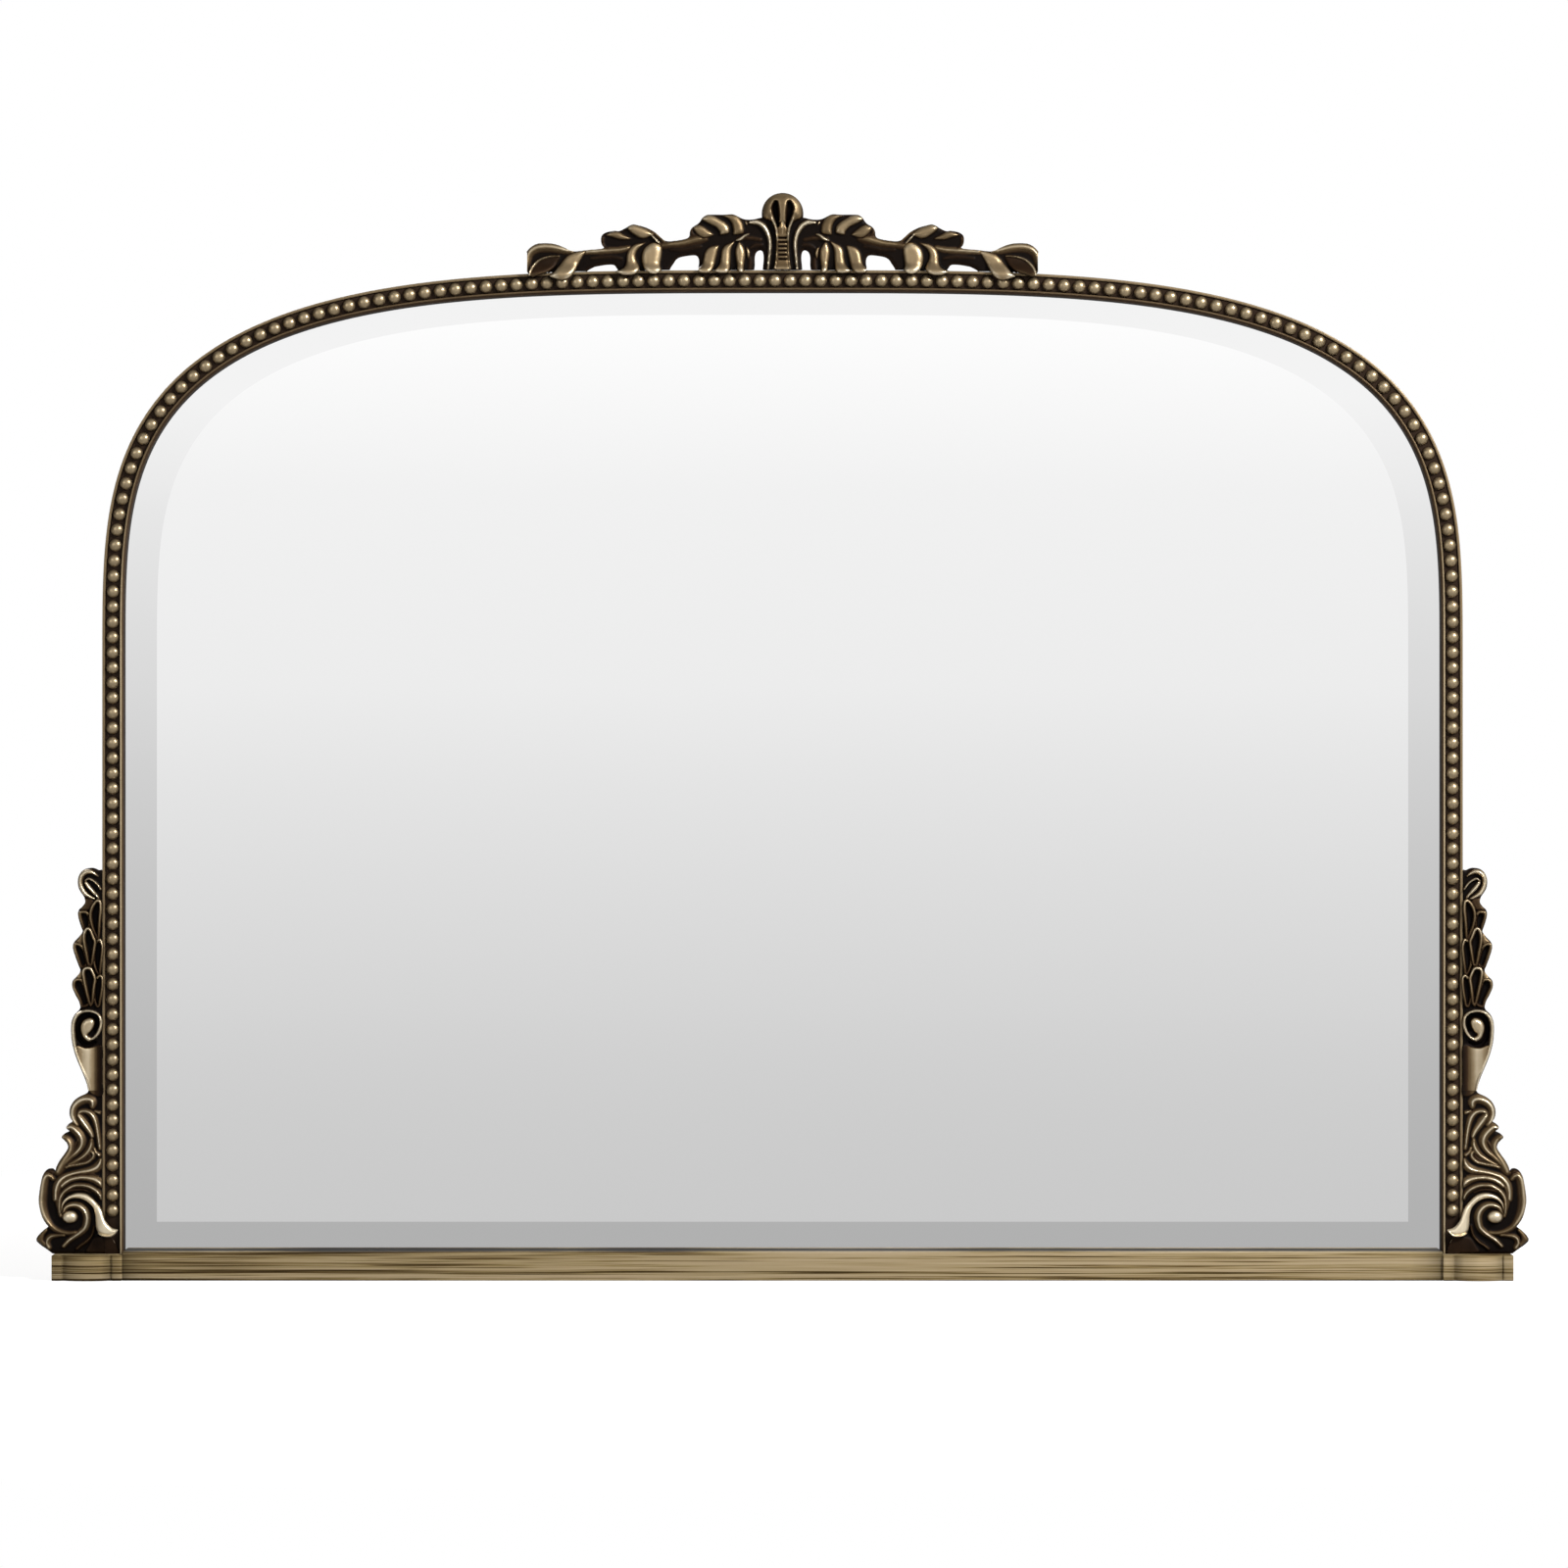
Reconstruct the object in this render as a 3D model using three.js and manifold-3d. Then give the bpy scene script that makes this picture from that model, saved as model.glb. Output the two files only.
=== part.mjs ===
// Overmantel mirror: an arched, beaded gilt frame on a sill with two bow-fronted plinth blocks, a pierced
// leaf crest, and a husk drop over an acanthus scroll at each side. Millimetres. X runs to the right, Y
// towards the wall and Z up; the origin is on the underside of the sill, under the middle of the frame.
import * as THREE from 'three';
import { mergeVertices } from 'three/addons/utils/BufferGeometryUtils.js';
import Module from 'manifold-3d';

const wasm = await Module();
wasm.setup();

// Gaps between pieces that touch or pass through each other.
const clearance = 0.3;

// The arch: the sight edge is a superellipse above straight stiles.
const sightHalfWidth = 530.6;
const springHeight = 498.9;
const archRise = 296.5;
const archPower = 3.555;
const headSteps = 28;

// The moulding's section, outwards from the sight edge; its face is worked from the plane y = 0.
const mouldingWidth = 17.7;
const mouldingBack = 15;
const rebateWidth = 6.3;
const rebateShelf = 8;
const coveFoot = 2.4;
const filletCentre = 2.7;
const filletRadius = 0.8;
const filletFront = -3.1;
const channelFloor = 1;
const shoulderWidth = 2.4;
const shoulderFront = -1.5;
const shoulderEase = 0.7;

// The row of beads on its ground strip.
const beadRadius = 5.1;
const beadHeight = 4.8;
const beadPitch = 12.15;
const beadSides = 6;
const beadRings = 2;
const beadRunFoot = 49.2;
const stripThickness = 1;
const stripGap = 0.5;

// The bevelled glass, the felt behind it and the board that closes the back.
const glassThickness = 5;
const glassFront = 6.8;
const glassEdgeFront = 8.8;
const glassOverlap = 6;
const bevelSide = 25.7;
const bevelTop = 17.8;
const bevelBottom = 22.8;
const feltThickness = 3;
const boardThickness = 9;
const boardOverlap = 14;

// The sill and the plinth blocks at its ends.
const sillHeight = 23;
const sillFront = -21;
const sillArris = 1.6;
const plinthHeight = 20.5;
const plinthLength = 56.4;
const plinthFront = -24;
const plinthFillet = 8;
const plinthCove = 3.5;
const bowDepth = 5;

// The castings' ground plate stands between these two planes, and the leaves rise from its front.
const castingFront = 0;
const castingBack = 6;
const leafRoot = 1;
const crestRun = 207.7;
const pinRadius = 1.25;
const pinLength = 16;
const pinSides = 6;
const crestPins = [-185, -105, 0, 105, 185];
const huskPins = [150, 268];
const acanthusPins = [54, 96];

// Fasteners, dowels, hangers and bumpers.
const boardScrewHead = 3.6;
const boardScrewHeadHeight = 2.2;
const boardScrewRadius = 1.75;
const boardScrewLength = 19;
const boardScrewOffset = 10.2;
const lowStileScrews = [70, 265];
const topStileScrewDrop = 58.9;
const headScrewAngles = [50, 90, 130];
const dowelRadius = 4;
const dowelLength = 30;
const dowelY = -6;
const headDowelRadius = 2.6;
const headDowelLength = 30;
const stileScrewHead = 4;
const stileScrewHeadHeight = 2.6;
const stileScrewRadius = 2.1;
const stileScrewLength = 40;
const stileScrewSink = 2;
const hangerInset = 110.6;
const hangerHeight = 640;
const strapWidth = 11;
const strapThickness = 1.5;
const strapDrop = 33;
const wireRadius = 1.5;
const ringHalfWidth = 11.5;
const ringDrop = 17;
const hangerScrewDrops = [9.5, 26];
const hangerScrewHead = 2.9;
const hangerScrewHeadHeight = 1.6;
const hangerScrewRadius = 1.5;
const hangerScrewLength = 8;
const bumperRadius = 9;
const bumperThickness = 7;
const bumperInset = 50.6;
const bumperHeight = 62;
const bumperSides = 20;

// Places worked out from the sizes above.
const boardFront = mouldingBack;
const boardBack = boardFront + boardThickness;
const outerHalfWidth = sightHalfWidth + mouldingWidth;
const headTop = springHeight + archRise + mouldingWidth;
const solidCentre = (rebateWidth + mouldingWidth) / 2;
const channelInner = filletCentre + filletRadius;
const channelOuter = mouldingWidth - shoulderWidth;
const beadLine = (channelInner + channelOuter) / 2;
const stileScrewHeights = [...lowStileScrews, springHeight - topStileScrewDrop];
const hangerX = sightHalfWidth - hangerInset;
const bumperX = sightHalfWidth - bumperInset;

const finishes = {
  giltWood: { color: 0x8a7350, roughness: 0.45, metalness: 0.55 },
  giltBead: { color: 0xb5a273, roughness: 0.35, metalness: 0.7 },
  giltCasting: { color: 0x9c845a, roughness: 0.4, metalness: 0.65 },
  waxedSill: { color: 0x8f7c60, roughness: 0.5, metalness: 0.35 },
  silvered: { color: 0xdfe3e4, roughness: 0.02, metalness: 1 },
  felt: { color: 0x4a4a46, roughness: 0.95, metalness: 0 },
  fibreboard: { color: 0x8a6b47, roughness: 0.85, metalness: 0 },
  beech: { color: 0xc9a878, roughness: 0.7, metalness: 0 },
  steel: { color: 0xb9bcbf, roughness: 0.35, metalness: 0.9 },
  brass: { color: 0xc2a25a, roughness: 0.35, metalness: 0.9 },
  rubber: { color: 0x2b2b2c, roughness: 0.85, metalness: 0 },
};

const model = new THREE.Group();

function place(name, geometry, finish) {
  const mesh = new THREE.Mesh(geometry, new THREE.MeshStandardMaterial(finishes[finish]));
  mesh.name = name;
  model.add(mesh);
  return mesh;
}

// ---- solids ----

// A closed mesh as a solid that can be joined and cut.
function solid(geometry) {
  const bare = geometry.clone();
  bare.deleteAttribute('normal');
  bare.deleteAttribute('uv');
  const merged = mergeVertices(bare, 1e-4);
  return new wasm.Manifold(new wasm.Mesh({
    numProp: 3,
    vertProperties: new Float32Array(merged.attributes.position.array),
    triVerts: new Uint32Array(merged.index.array),
  }));
}

function surface(part) {
  const mesh = part.getMesh();
  return indexed(mesh.vertProperties, mesh.triVerts);
}

function indexed(positions, faces) {
  const geometry = new THREE.BufferGeometry();
  geometry.setAttribute('position', new THREE.BufferAttribute(new Float32Array(positions), 3));
  geometry.setIndex(new THREE.BufferAttribute(new Uint32Array(faces), 1));
  geometry.computeVertexNormals();
  return geometry;
}

const join = (parts) => parts.reduce((whole, part) => whole.add(part));
const cut = (body, cutters) => cutters.reduce((left, cutter) => left.subtract(cutter), body);

// The same geometry on the other side of the middle plane.
function mirrored(geometry) {
  const copy = indexed(geometry.attributes.position.array, geometry.index.array);
  const faces = copy.index.array;
  for (let i = 0; i < faces.length; i += 3) {
    [faces[i], faces[i + 1]] = [faces[i + 1], faces[i]];
  }
  copy.scale(-1, 1, 1);
  copy.computeVertexNormals();
  return copy;
}

// The triangles that close a flat ring, as indices into the ring.
function capFaces(ring) {
  const normal = new THREE.Vector3();
  ring.forEach((point, i) => {
    normal.add(new THREE.Vector3().crossVectors(point, ring[(i + 1) % ring.length]));
  });
  normal.normalize();
  const across = new THREE.Vector3().subVectors(ring[1], ring[0]).normalize();
  const up = new THREE.Vector3().crossVectors(normal, across);
  const contour = ring.map((point) => new THREE.Vector2(point.dot(across), point.dot(up)));
  return THREE.ShapeUtils.triangulateShape(contour, []).map((face) => {
    const [a, b, c] = face.map((index) => contour[index]);
    const turn = (b.x - a.x) * (c.y - a.y) - (b.y - a.y) * (c.x - a.x);
    return turn > 0 ? face : [face[0], face[2], face[1]];
  });
}

// A skin over rings of equal length, closed by a cap at each end or by joining the last ring to the first.
function loft(rings, endless = false) {
  const sides = rings[0].length;
  const faces = [];
  const spans = endless ? rings.length : rings.length - 1;
  for (let ring = 0; ring < spans; ring += 1) {
    const next = (ring + 1) % rings.length;
    for (let side = 0; side < sides; side += 1) {
      const [a, b] = [ring * sides + side, ring * sides + (side + 1) % sides];
      const [c, d] = [next * sides + side, next * sides + (side + 1) % sides];
      faces.push(a, b, d, a, d, c);
    }
  }
  if (!endless) {
    const last = (rings.length - 1) * sides;
    capFaces(rings[0]).forEach(([a, b, c]) => faces.push(a, c, b));
    capFaces(rings[rings.length - 1]).forEach(([a, b, c]) => faces.push(last + a, last + b, last + c));
  }
  return outward(indexed(rings.flat().flatMap((point) => point.toArray()), faces));
}

// Turns a closed mesh the right way out.
function outward(geometry) {
  const corners = geometry.attributes.position;
  const faces = geometry.index.array;
  const [a, b, c] = [new THREE.Vector3(), new THREE.Vector3(), new THREE.Vector3()];
  let volume = 0;
  for (let i = 0; i < faces.length; i += 3) {
    a.fromBufferAttribute(corners, faces[i]);
    b.fromBufferAttribute(corners, faces[i + 1]);
    c.fromBufferAttribute(corners, faces[i + 2]);
    volume += a.dot(b.cross(c));
  }
  if (volume < 0) {
    for (let i = 0; i < faces.length; i += 3) {
      [faces[i + 1], faces[i + 2]] = [faces[i + 2], faces[i + 1]];
    }
    geometry.computeVertexNormals();
  }
  return geometry;
}

// A turned piece: the profile holds [radius, distance along the axis] from one end on the axis to the other.
function turned(profile, sides, at, axis) {
  const points = profile.map(([radius, along]) => new THREE.Vector2(radius, along));
  const geometry = new THREE.LatheGeometry(points, sides);
  geometry.applyQuaternion(new THREE.Quaternion().setFromUnitVectors(new THREE.Vector3(0, 1, 0), axis));
  geometry.translate(...at);
  const bare = geometry.clone();
  bare.deleteAttribute('normal');
  bare.deleteAttribute('uv');
  return outward(withoutSlivers(mergeVertices(bare, 1e-4)));
}

// Drops the faces that shrink to nothing where a profile meets its axis.
function withoutSlivers(geometry) {
  const faces = [...geometry.index.array];
  const kept = [];
  for (let i = 0; i < faces.length; i += 3) {
    const [a, b, c] = faces.slice(i, i + 3);
    if (a !== b && b !== c && a !== c) kept.push(a, b, c);
  }
  return indexed(geometry.attributes.position.array, kept);
}

function rod(radius, length, sides, at, axis) {
  return turned([[0, 0], [radius, 0], [radius, length], [0, length]], sides, at, axis);
}

const alongX = new THREE.Vector3(1, 0, 0);
const alongY = new THREE.Vector3(0, 1, 0);
const alongZ = new THREE.Vector3(0, 0, 1);
const towardsRoom = new THREE.Vector3(0, -1, 0);

// A flat piece: an outline of [x, z] points between two depths.
function panel(outline, front, back) {
  return loft([front, back].map((y) => outline.map(([x, z]) => new THREE.Vector3(x, y, z))));
}

// ---- the arch ----

// A place on the arch, at these shares of its half width and rise, with the outward direction there.
function archPlace(across, up, halfWidth, rise) {
  const lean = Math.sign(across) * Math.abs(across) ** (archPower - 1);
  const out = new THREE.Vector2(lean / halfWidth, up ** (archPower - 1) / rise).normalize();
  return { x: halfWidth * across, z: springHeight + rise * up, outX: out.x, outZ: out.y };
}

// A station that runs from angle 0 at the right springing to PI at the left, closest on the shoulders.
function archStation(angle, halfWidth = sightHalfWidth, rise = archRise) {
  const [cos, sin] = [Math.cos(angle), Math.abs(Math.sin(angle))];
  const side = Math.sign(Math.round(cos * 1e9));
  return archPlace(side * Math.abs(cos) ** (2 / archPower), sin ** (2 / archPower), halfWidth, rise);
}

function archPath(halfWidth = sightHalfWidth, rise = archRise) {
  const path = [];
  for (let step = 0; step <= headSteps; step += 1) {
    path.push(archStation(Math.PI * step / headSteps, halfWidth, rise));
  }
  return path;
}

function stilePath(side, foot) {
  return [foot, springHeight].map((z) => ({ x: side * sightHalfWidth, z, outX: side, outZ: 0 }));
}

// Sweeps a section of [distance out from the sight edge, y] along a path.
function sweep(section, path) {
  return loft(path.map(({ x, z, outX, outZ }) => section.map(
    ([out, y]) => new THREE.Vector3(x + outX * out, y, z + outZ * out),
  )));
}

// The arched outline, as far out from the sight edge as asked, closed along a straight foot.
function archedOutline(out, foot, halfWidth = sightHalfWidth, rise = archRise) {
  const arch = archPath(halfWidth, rise).map(({ x, z, outX, outZ }) => [x + outX * out, z + outZ * out]);
  return [[halfWidth + out, foot], ...arch, [-halfWidth - out, foot]];
}

// The height of the head's outer edge above a place along the crest.
function outerEdgeAt(x) {
  const share = Math.abs(x) / outerHalfWidth;
  return springHeight + (archRise + mouldingWidth) * (1 - share ** archPower) ** (1 / archPower);
}

function mouldingSection() {
  const face = new THREE.Path();
  face.moveTo(0, rebateShelf);
  face.lineTo(0, coveFoot);
  const filletSpring = filletFront + filletRadius;
  face.quadraticCurveTo(0.2, filletSpring, filletCentre - filletRadius, filletSpring);
  face.absarc(filletCentre, filletSpring, filletRadius, -Math.PI, 0);
  face.lineTo(channelInner, channelFloor);
  face.lineTo(channelOuter, channelFloor);
  face.lineTo(channelOuter, shoulderFront + shoulderEase);
  face.quadraticCurveTo(channelOuter, shoulderFront, channelOuter + shoulderEase, shoulderFront);
  face.lineTo(mouldingWidth - shoulderEase, shoulderFront);
  face.quadraticCurveTo(mouldingWidth, shoulderFront, mouldingWidth, shoulderFront + shoulderEase);
  face.lineTo(mouldingWidth, mouldingBack);
  face.lineTo(rebateWidth, mouldingBack);
  face.lineTo(rebateWidth, rebateShelf);
  return face.getPoints(1).map((point) => [point.x, point.y]);
}

// The space that the castings keep clear of: the moulding and its beads, with the clearance all round.
function mouldingEnvelope() {
  const beadFront = channelFloor - stripThickness - beadHeight - clearance;
  const outer = mouldingWidth + clearance;
  const back = mouldingBack + clearance;
  return [
    [-clearance, back], [-clearance, beadFront], [channelOuter, beadFront],
    [channelOuter, shoulderFront - clearance], [outer, shoulderFront - clearance], [outer, back],
  ];
}

const sides = [['left', -1], ['right', 1]];

// ---- screws and dowels ----

const screwSides = 6;
const tipTaper = 1.6;

// A screw with a domed head, driven in from the back.
function panScrew(head, headHeight, radius, length, at) {
  const profile = [
    [0, -headHeight], [head * 0.6, -headHeight], [head, -headHeight * 0.35], [head, 0], [radius, 0],
    [radius, length - radius * tipTaper], [0, length],
  ];
  return turned(profile, screwSides, at, towardsRoom);
}

// The countersunk screw that runs up through a plinth block into its stile.
function stileScrew(at) {
  const profile = [
    [0, 0], [stileScrewHead, 0], [stileScrewRadius, stileScrewHeadHeight],
    [stileScrewRadius, stileScrewLength - stileScrewRadius * tipTaper], [0, stileScrewLength],
  ];
  return turned(profile, screwSides, at, alongZ);
}

const boardScrewPlaces = [
  ...sides.flatMap(([name, side]) => stileScrewHeights.map((z, index) => (
    { name: `board_screw_${name}_${index + 1}`, x: side * (sightHalfWidth + boardScrewOffset), z }
  ))),
  ...headScrewAngles.map((degrees, index) => {
    const { x, z, outX, outZ } = archStation(THREE.MathUtils.degToRad(degrees));
    const at = { x: x + outX * boardScrewOffset, z: z + outZ * boardScrewOffset };
    return { name: `board_screw_head_${index + 1}`, ...at };
  }),
];

const boardScrewHoles = boardScrewPlaces.map(({ x, z }) => (
  hole(boardScrewRadius, boardScrewLength, screwSides, [x, boardBack, z], towardsRoom)
));

const stileCentre = sightHalfWidth + solidCentre;
const headDowelAt = (side) => [side * stileCentre, rebateShelf, springHeight - headDowelLength / 2];
const stileScrewAt = (side) => [side * stileCentre, rebateShelf, stileScrewSink];
const plinthDowelAt = (side) => [side * sightHalfWidth - dowelLength / 2, dowelY, plinthHeight / 2];

// A hole for a rod, longer by the clearance at both ends.
function hole(radius, length, shape, at, axis) {
  const start = new THREE.Vector3(...at).addScaledVector(axis, -clearance);
  return solid(rod(radius + clearance, length + 2 * clearance, shape, start.toArray(), axis));
}

const headDowelHole = (side) => hole(headDowelRadius, headDowelLength, pinSides, headDowelAt(side), alongZ);
const plinthDowelHole = (side) => hole(dowelRadius, dowelLength, screwSides, plinthDowelAt(side), alongX);

function stileScrewHole(side) {
  const [x, y, z] = stileScrewAt(side);
  const shank = hole(stileScrewRadius, stileScrewLength, screwSides, [x, y, z], alongZ);
  const top = z + stileScrewHeadHeight + clearance;
  const sink = [
    [0, -1], [stileScrewHead + clearance, -1], [stileScrewHead + clearance, z + clearance],
    [stileScrewRadius + clearance, top + clearance], [0, top + clearance],
  ];
  return shank.add(solid(turned(sink, screwSides, [x, y, 0], alongZ)));
}

// Pins that hold the castings: upright in the crest, level at the sides.
const pinY = (castingFront + castingBack) / 2 + 1;
const crestPinAt = (x) => [x, pinY, outerEdgeAt(x) - pinLength / 2];
const sidePinAt = (side, z) => [side * outerHalfWidth - pinLength / 2, pinY, plinthHeight + z];
const crestPinHoles = crestPins.map((x) => hole(pinRadius, pinLength, pinSides, crestPinAt(x), alongZ));
const sidePinHoles = (side, heights) => heights.map((z) => (
  hole(pinRadius, pinLength, pinSides, sidePinAt(side, z), alongX)
));

// ---- frame ----

function frame() {
  const section = mouldingSection();
  const head = cut(solid(sweep(section, archPath())), [
    ...boardScrewHoles, ...crestPinHoles, headDowelHole(-1), headDowelHole(1),
  ]);
  place('frame_head', surface(head), 'giltWood');
  sides.forEach(([name, side]) => {
    const stile = cut(solid(sweep(section, stilePath(side, plinthHeight))), [
      ...boardScrewHoles, ...sidePinHoles(side, huskPins), ...sidePinHoles(side, acanthusPins),
      headDowelHole(side), stileScrewHole(side),
    ]);
    place(`frame_stile_${name}`, surface(stile), 'giltWood');
    const dowel = rod(headDowelRadius, headDowelLength, pinSides, headDowelAt(side), alongZ);
    place(`head_dowel_${name}`, dowel, 'beech');
    place(`stile_screw_${name}`, stileScrew(stileScrewAt(side)), 'steel');
  });
}

// ---- beads ----

// The line that the beads of the head stand on.
class BeadArch extends THREE.Curve {
  getPoint(share, target = new THREE.Vector3()) {
    const [cos, sin] = [Math.cos(Math.PI * share), Math.abs(Math.sin(Math.PI * share))];
    const reach = (Math.abs(cos) ** archPower + sin ** archPower) ** (-1 / archPower);
    const { x, z, outX, outZ } = archPlace(cos * reach, sin * reach, sightHalfWidth, archRise);
    return target.set(x + outX * beadLine, channelFloor - stripThickness, z + outZ * beadLine);
  }
}

// One domed bead, standing on the strip's face and rooted a little way into it.
function bead(at) {
  const profile = [[0, -stripThickness / 2], [beadRadius, -stripThickness / 2], [beadRadius, 0]];
  for (let ring = 1; ring <= beadRings; ring += 1) {
    const angle = (ring / beadRings) * (Math.PI / 2);
    profile.push([ring === beadRings ? 0 : beadRadius * Math.cos(angle), beadHeight * Math.sin(angle)]);
  }
  return solid(turned(profile, beadSides, at.toArray(), towardsRoom));
}

function beads() {
  const [inner, outer] = [channelInner + stripGap, channelOuter - stripGap];
  const face = channelFloor - stripThickness;
  const strip = [[inner, channelFloor], [outer, channelFloor], [outer, face], [inner, face]];
  const arch = new BeadArch();
  arch.arcLengthDivisions = 720;
  const headBeads = 2 * Math.round(arch.getLength() / beadPitch / 2);
  const head = [solid(sweep(strip, archPath()))];
  for (let index = 0; index < headBeads; index += 1) {
    head.push(bead(arch.getPointAt((index + 0.5) / headBeads)));
  }
  place('bead_strip_head', surface(join(head)), 'giltBead');
  const run = springHeight - beadRunFoot;
  const stileBeads = Math.round(run / beadPitch);
  sides.forEach(([name, side]) => {
    const stile = [solid(sweep(strip, stilePath(side, plinthHeight)))];
    for (let index = 0; index < stileBeads; index += 1) {
      const z = springHeight - (index + 0.5) * run / stileBeads;
      stile.push(bead(new THREE.Vector3(side * (sightHalfWidth + beadLine), face, z)));
    }
    place(`bead_strip_${name}`, surface(join(stile)), 'giltBead');
  });
}

// ---- glass and back ----

function glassAndBack() {
  const at = (outline, y) => outline.map(([x, z]) => new THREE.Vector3(x, y, z));
  const edge = archedOutline(glassOverlap, plinthHeight);
  const bevel = archedOutline(0, sillHeight + bevelBottom, sightHalfWidth - bevelSide, archRise - bevelTop);
  const glassBack = glassFront + glassThickness;
  const glass = loft([at(bevel, glassFront), at(edge, glassEdgeFront), at(edge, glassBack)]);
  place('mirror_glass', glass, 'silvered');
  place('felt_sheet', panel(edge, boardFront - feltThickness, boardFront), 'felt');
  const strapBack = boardBack + strapThickness;
  const holes = hangers().flatMap(({ at: [x, , z] }) => hangerScrewDrops.map((drop) => (
    hole(hangerScrewRadius, hangerScrewLength, screwSides, [x, strapBack, z - drop], towardsRoom)
  )));
  const board = cut(solid(panel(archedOutline(boardOverlap, plinthHeight), boardFront, boardBack)), [
    ...boardScrewHoles, ...holes,
  ]);
  place('backing_board', surface(board), 'fibreboard');
  boardScrewPlaces.forEach(({ name, x, z }) => {
    const sizes = [boardScrewHead, boardScrewHeadHeight, boardScrewRadius, boardScrewLength];
    place(name, panScrew(...sizes, [x, boardBack, z]), 'steel');
  });
  sides.forEach(([name, side]) => {
    const bumperAt = [side * bumperX, boardBack, bumperHeight];
    place(`wall_bumper_${name}`, rod(bumperRadius, bumperThickness, bumperSides, bumperAt, alongY), 'rubber');
  });
}

// ---- sill and plinths ----

function sill() {
  const section = new THREE.Shape();
  section.moveTo(sillFront, 0);
  section.lineTo(sillFront, sillHeight - sillArris);
  section.absarc(sillFront + sillArris, sillHeight - sillArris, sillArris, Math.PI, Math.PI / 2, true);
  section.lineTo(rebateShelf, sillHeight);
  section.lineTo(rebateShelf, plinthHeight);
  section.lineTo(boardBack, plinthHeight);
  section.lineTo(boardBack, 0);
  const outline = section.getPoints(4).map((point) => [point.x, point.y]);
  const ends = [-sightHalfWidth, sightHalfWidth];
  const rail = loft(ends.map((x) => outline.map(([y, z]) => new THREE.Vector3(x, y, z))));
  place('sill_rail', surface(cut(solid(rail), sides.map(([, side]) => plinthDowelHole(side)))), 'waxedSill');
}

// A plinth block in plan: a fillet at each end, a hollow beside it and a bow between.
function plinthPlan(side) {
  const bowStart = plinthFillet + plinthCove;
  const bowEnd = plinthLength - bowStart;
  const half = (bowEnd - bowStart) / 2;
  const radius = (half ** 2 + bowDepth ** 2) / (2 * bowDepth);
  const lean = Math.asin(half / radius);
  const plan = new THREE.Path();
  plan.moveTo(0, boardBack);
  plan.lineTo(0, plinthFront);
  plan.lineTo(plinthFillet, plinthFront);
  plan.quadraticCurveTo(plinthFillet, plinthFront + plinthCove, bowStart, plinthFront);
  const centreY = plinthFront - bowDepth + radius;
  plan.absarc(plinthLength / 2, centreY, radius, -Math.PI / 2 - lean, -Math.PI / 2 + lean);
  const filletStart = plinthLength - plinthFillet;
  plan.quadraticCurveTo(filletStart, plinthFront + plinthCove, filletStart, plinthFront);
  plan.lineTo(plinthLength, plinthFront);
  plan.lineTo(plinthLength, boardBack);
  return plan.getPoints(5).map((point) => [side * (sightHalfWidth + plinthLength - point.x), point.y]);
}

function plinths() {
  sides.forEach(([name, side]) => {
    const plan = plinthPlan(side);
    const rings = [0, plinthHeight].map((z) => plan.map(([x, y]) => new THREE.Vector3(x, y, z)));
    const block = cut(solid(loft(rings)), [plinthDowelHole(side), stileScrewHole(side)]);
    place(`plinth_block_${name}`, surface(block), 'waxedSill');
    const dowel = rod(dowelRadius, dowelLength, screwSides, plinthDowelAt(side), alongX);
    place(`plinth_dowel_${name}`, dowel, 'beech');
  });
}

// ---- castings ----

// Cross-sections of a leaf as [share of the half width, share of the rise]: a sharp ridge and a full crown.
const ridge = [[-1, 0], [0, 1], [1, 0]];
const crown = [[-1, 0], [-0.55, 0.85], [0.35, 1], [1, 0]];

// A stroke runs through points of [x, z, half width] and stands out from the ground plate.
function stroke(points, rise, across = ridge, steps = Math.ceil(points.length * 0.7)) {
  const places = points.map((point) => new THREE.Vector3(...point));
  const spine = new THREE.CatmullRomCurve3(places, false, 'centripetal');
  const widest = Math.max(...points.map(([, , half]) => half));
  const rings = spine.getPoints(steps).map((at, index) => {
    const heading = spine.getTangent(index / steps);
    const side = new THREE.Vector2(-heading.y, heading.x).normalize();
    const height = leafRoot - castingFront + rise * Math.sqrt(at.z / widest);
    return across.map(([share, lift]) => new THREE.Vector3(
      at.x + side.x * share * at.z, leafRoot - lift * height, at.y + side.y * share * at.z,
    ));
  });
  return solid(loft(rings));
}

// A ground plate under a smooth edge of [x, z] points, closed by straight lines through the corners given.
function ground(edge, corners) {
  const outline = new THREE.Shape();
  outline.moveTo(...edge[0]);
  outline.splineThru(edge.slice(1).map(([x, z]) => new THREE.Vector2(x, z)));
  corners.forEach(([x, z]) => outline.lineTo(x, z));
  const points = outline.getPoints(2).map((point) => [point.x, point.y]);
  return solid(panel(points, castingFront, castingBack));
}

// The rim of a husk's petal: up one side from the base, over the tip and down the other side.
function petal([baseX, baseZ], [tipX, tipZ], half) {
  const along = new THREE.Vector2(tipX - baseX, tipZ - baseZ);
  const out = new THREE.Vector2(along.y, -along.x).normalize().multiplyScalar(half);
  const at = (up, side, width) => [
    baseX + along.x * up + out.x * side, baseZ + along.y * up + out.y * side, width,
  ];
  return stroke([
    at(0, -0.25, 0.7), at(0.45, -0.85, 0.8), at(0.85, -0.75, 1), at(1, 0, 1.2),
    at(0.85, 0.75, 1), at(0.45, 0.85, 0.8), at(0, 0.25, 0.7),
  ], 5, ridge, 6);
}

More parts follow.
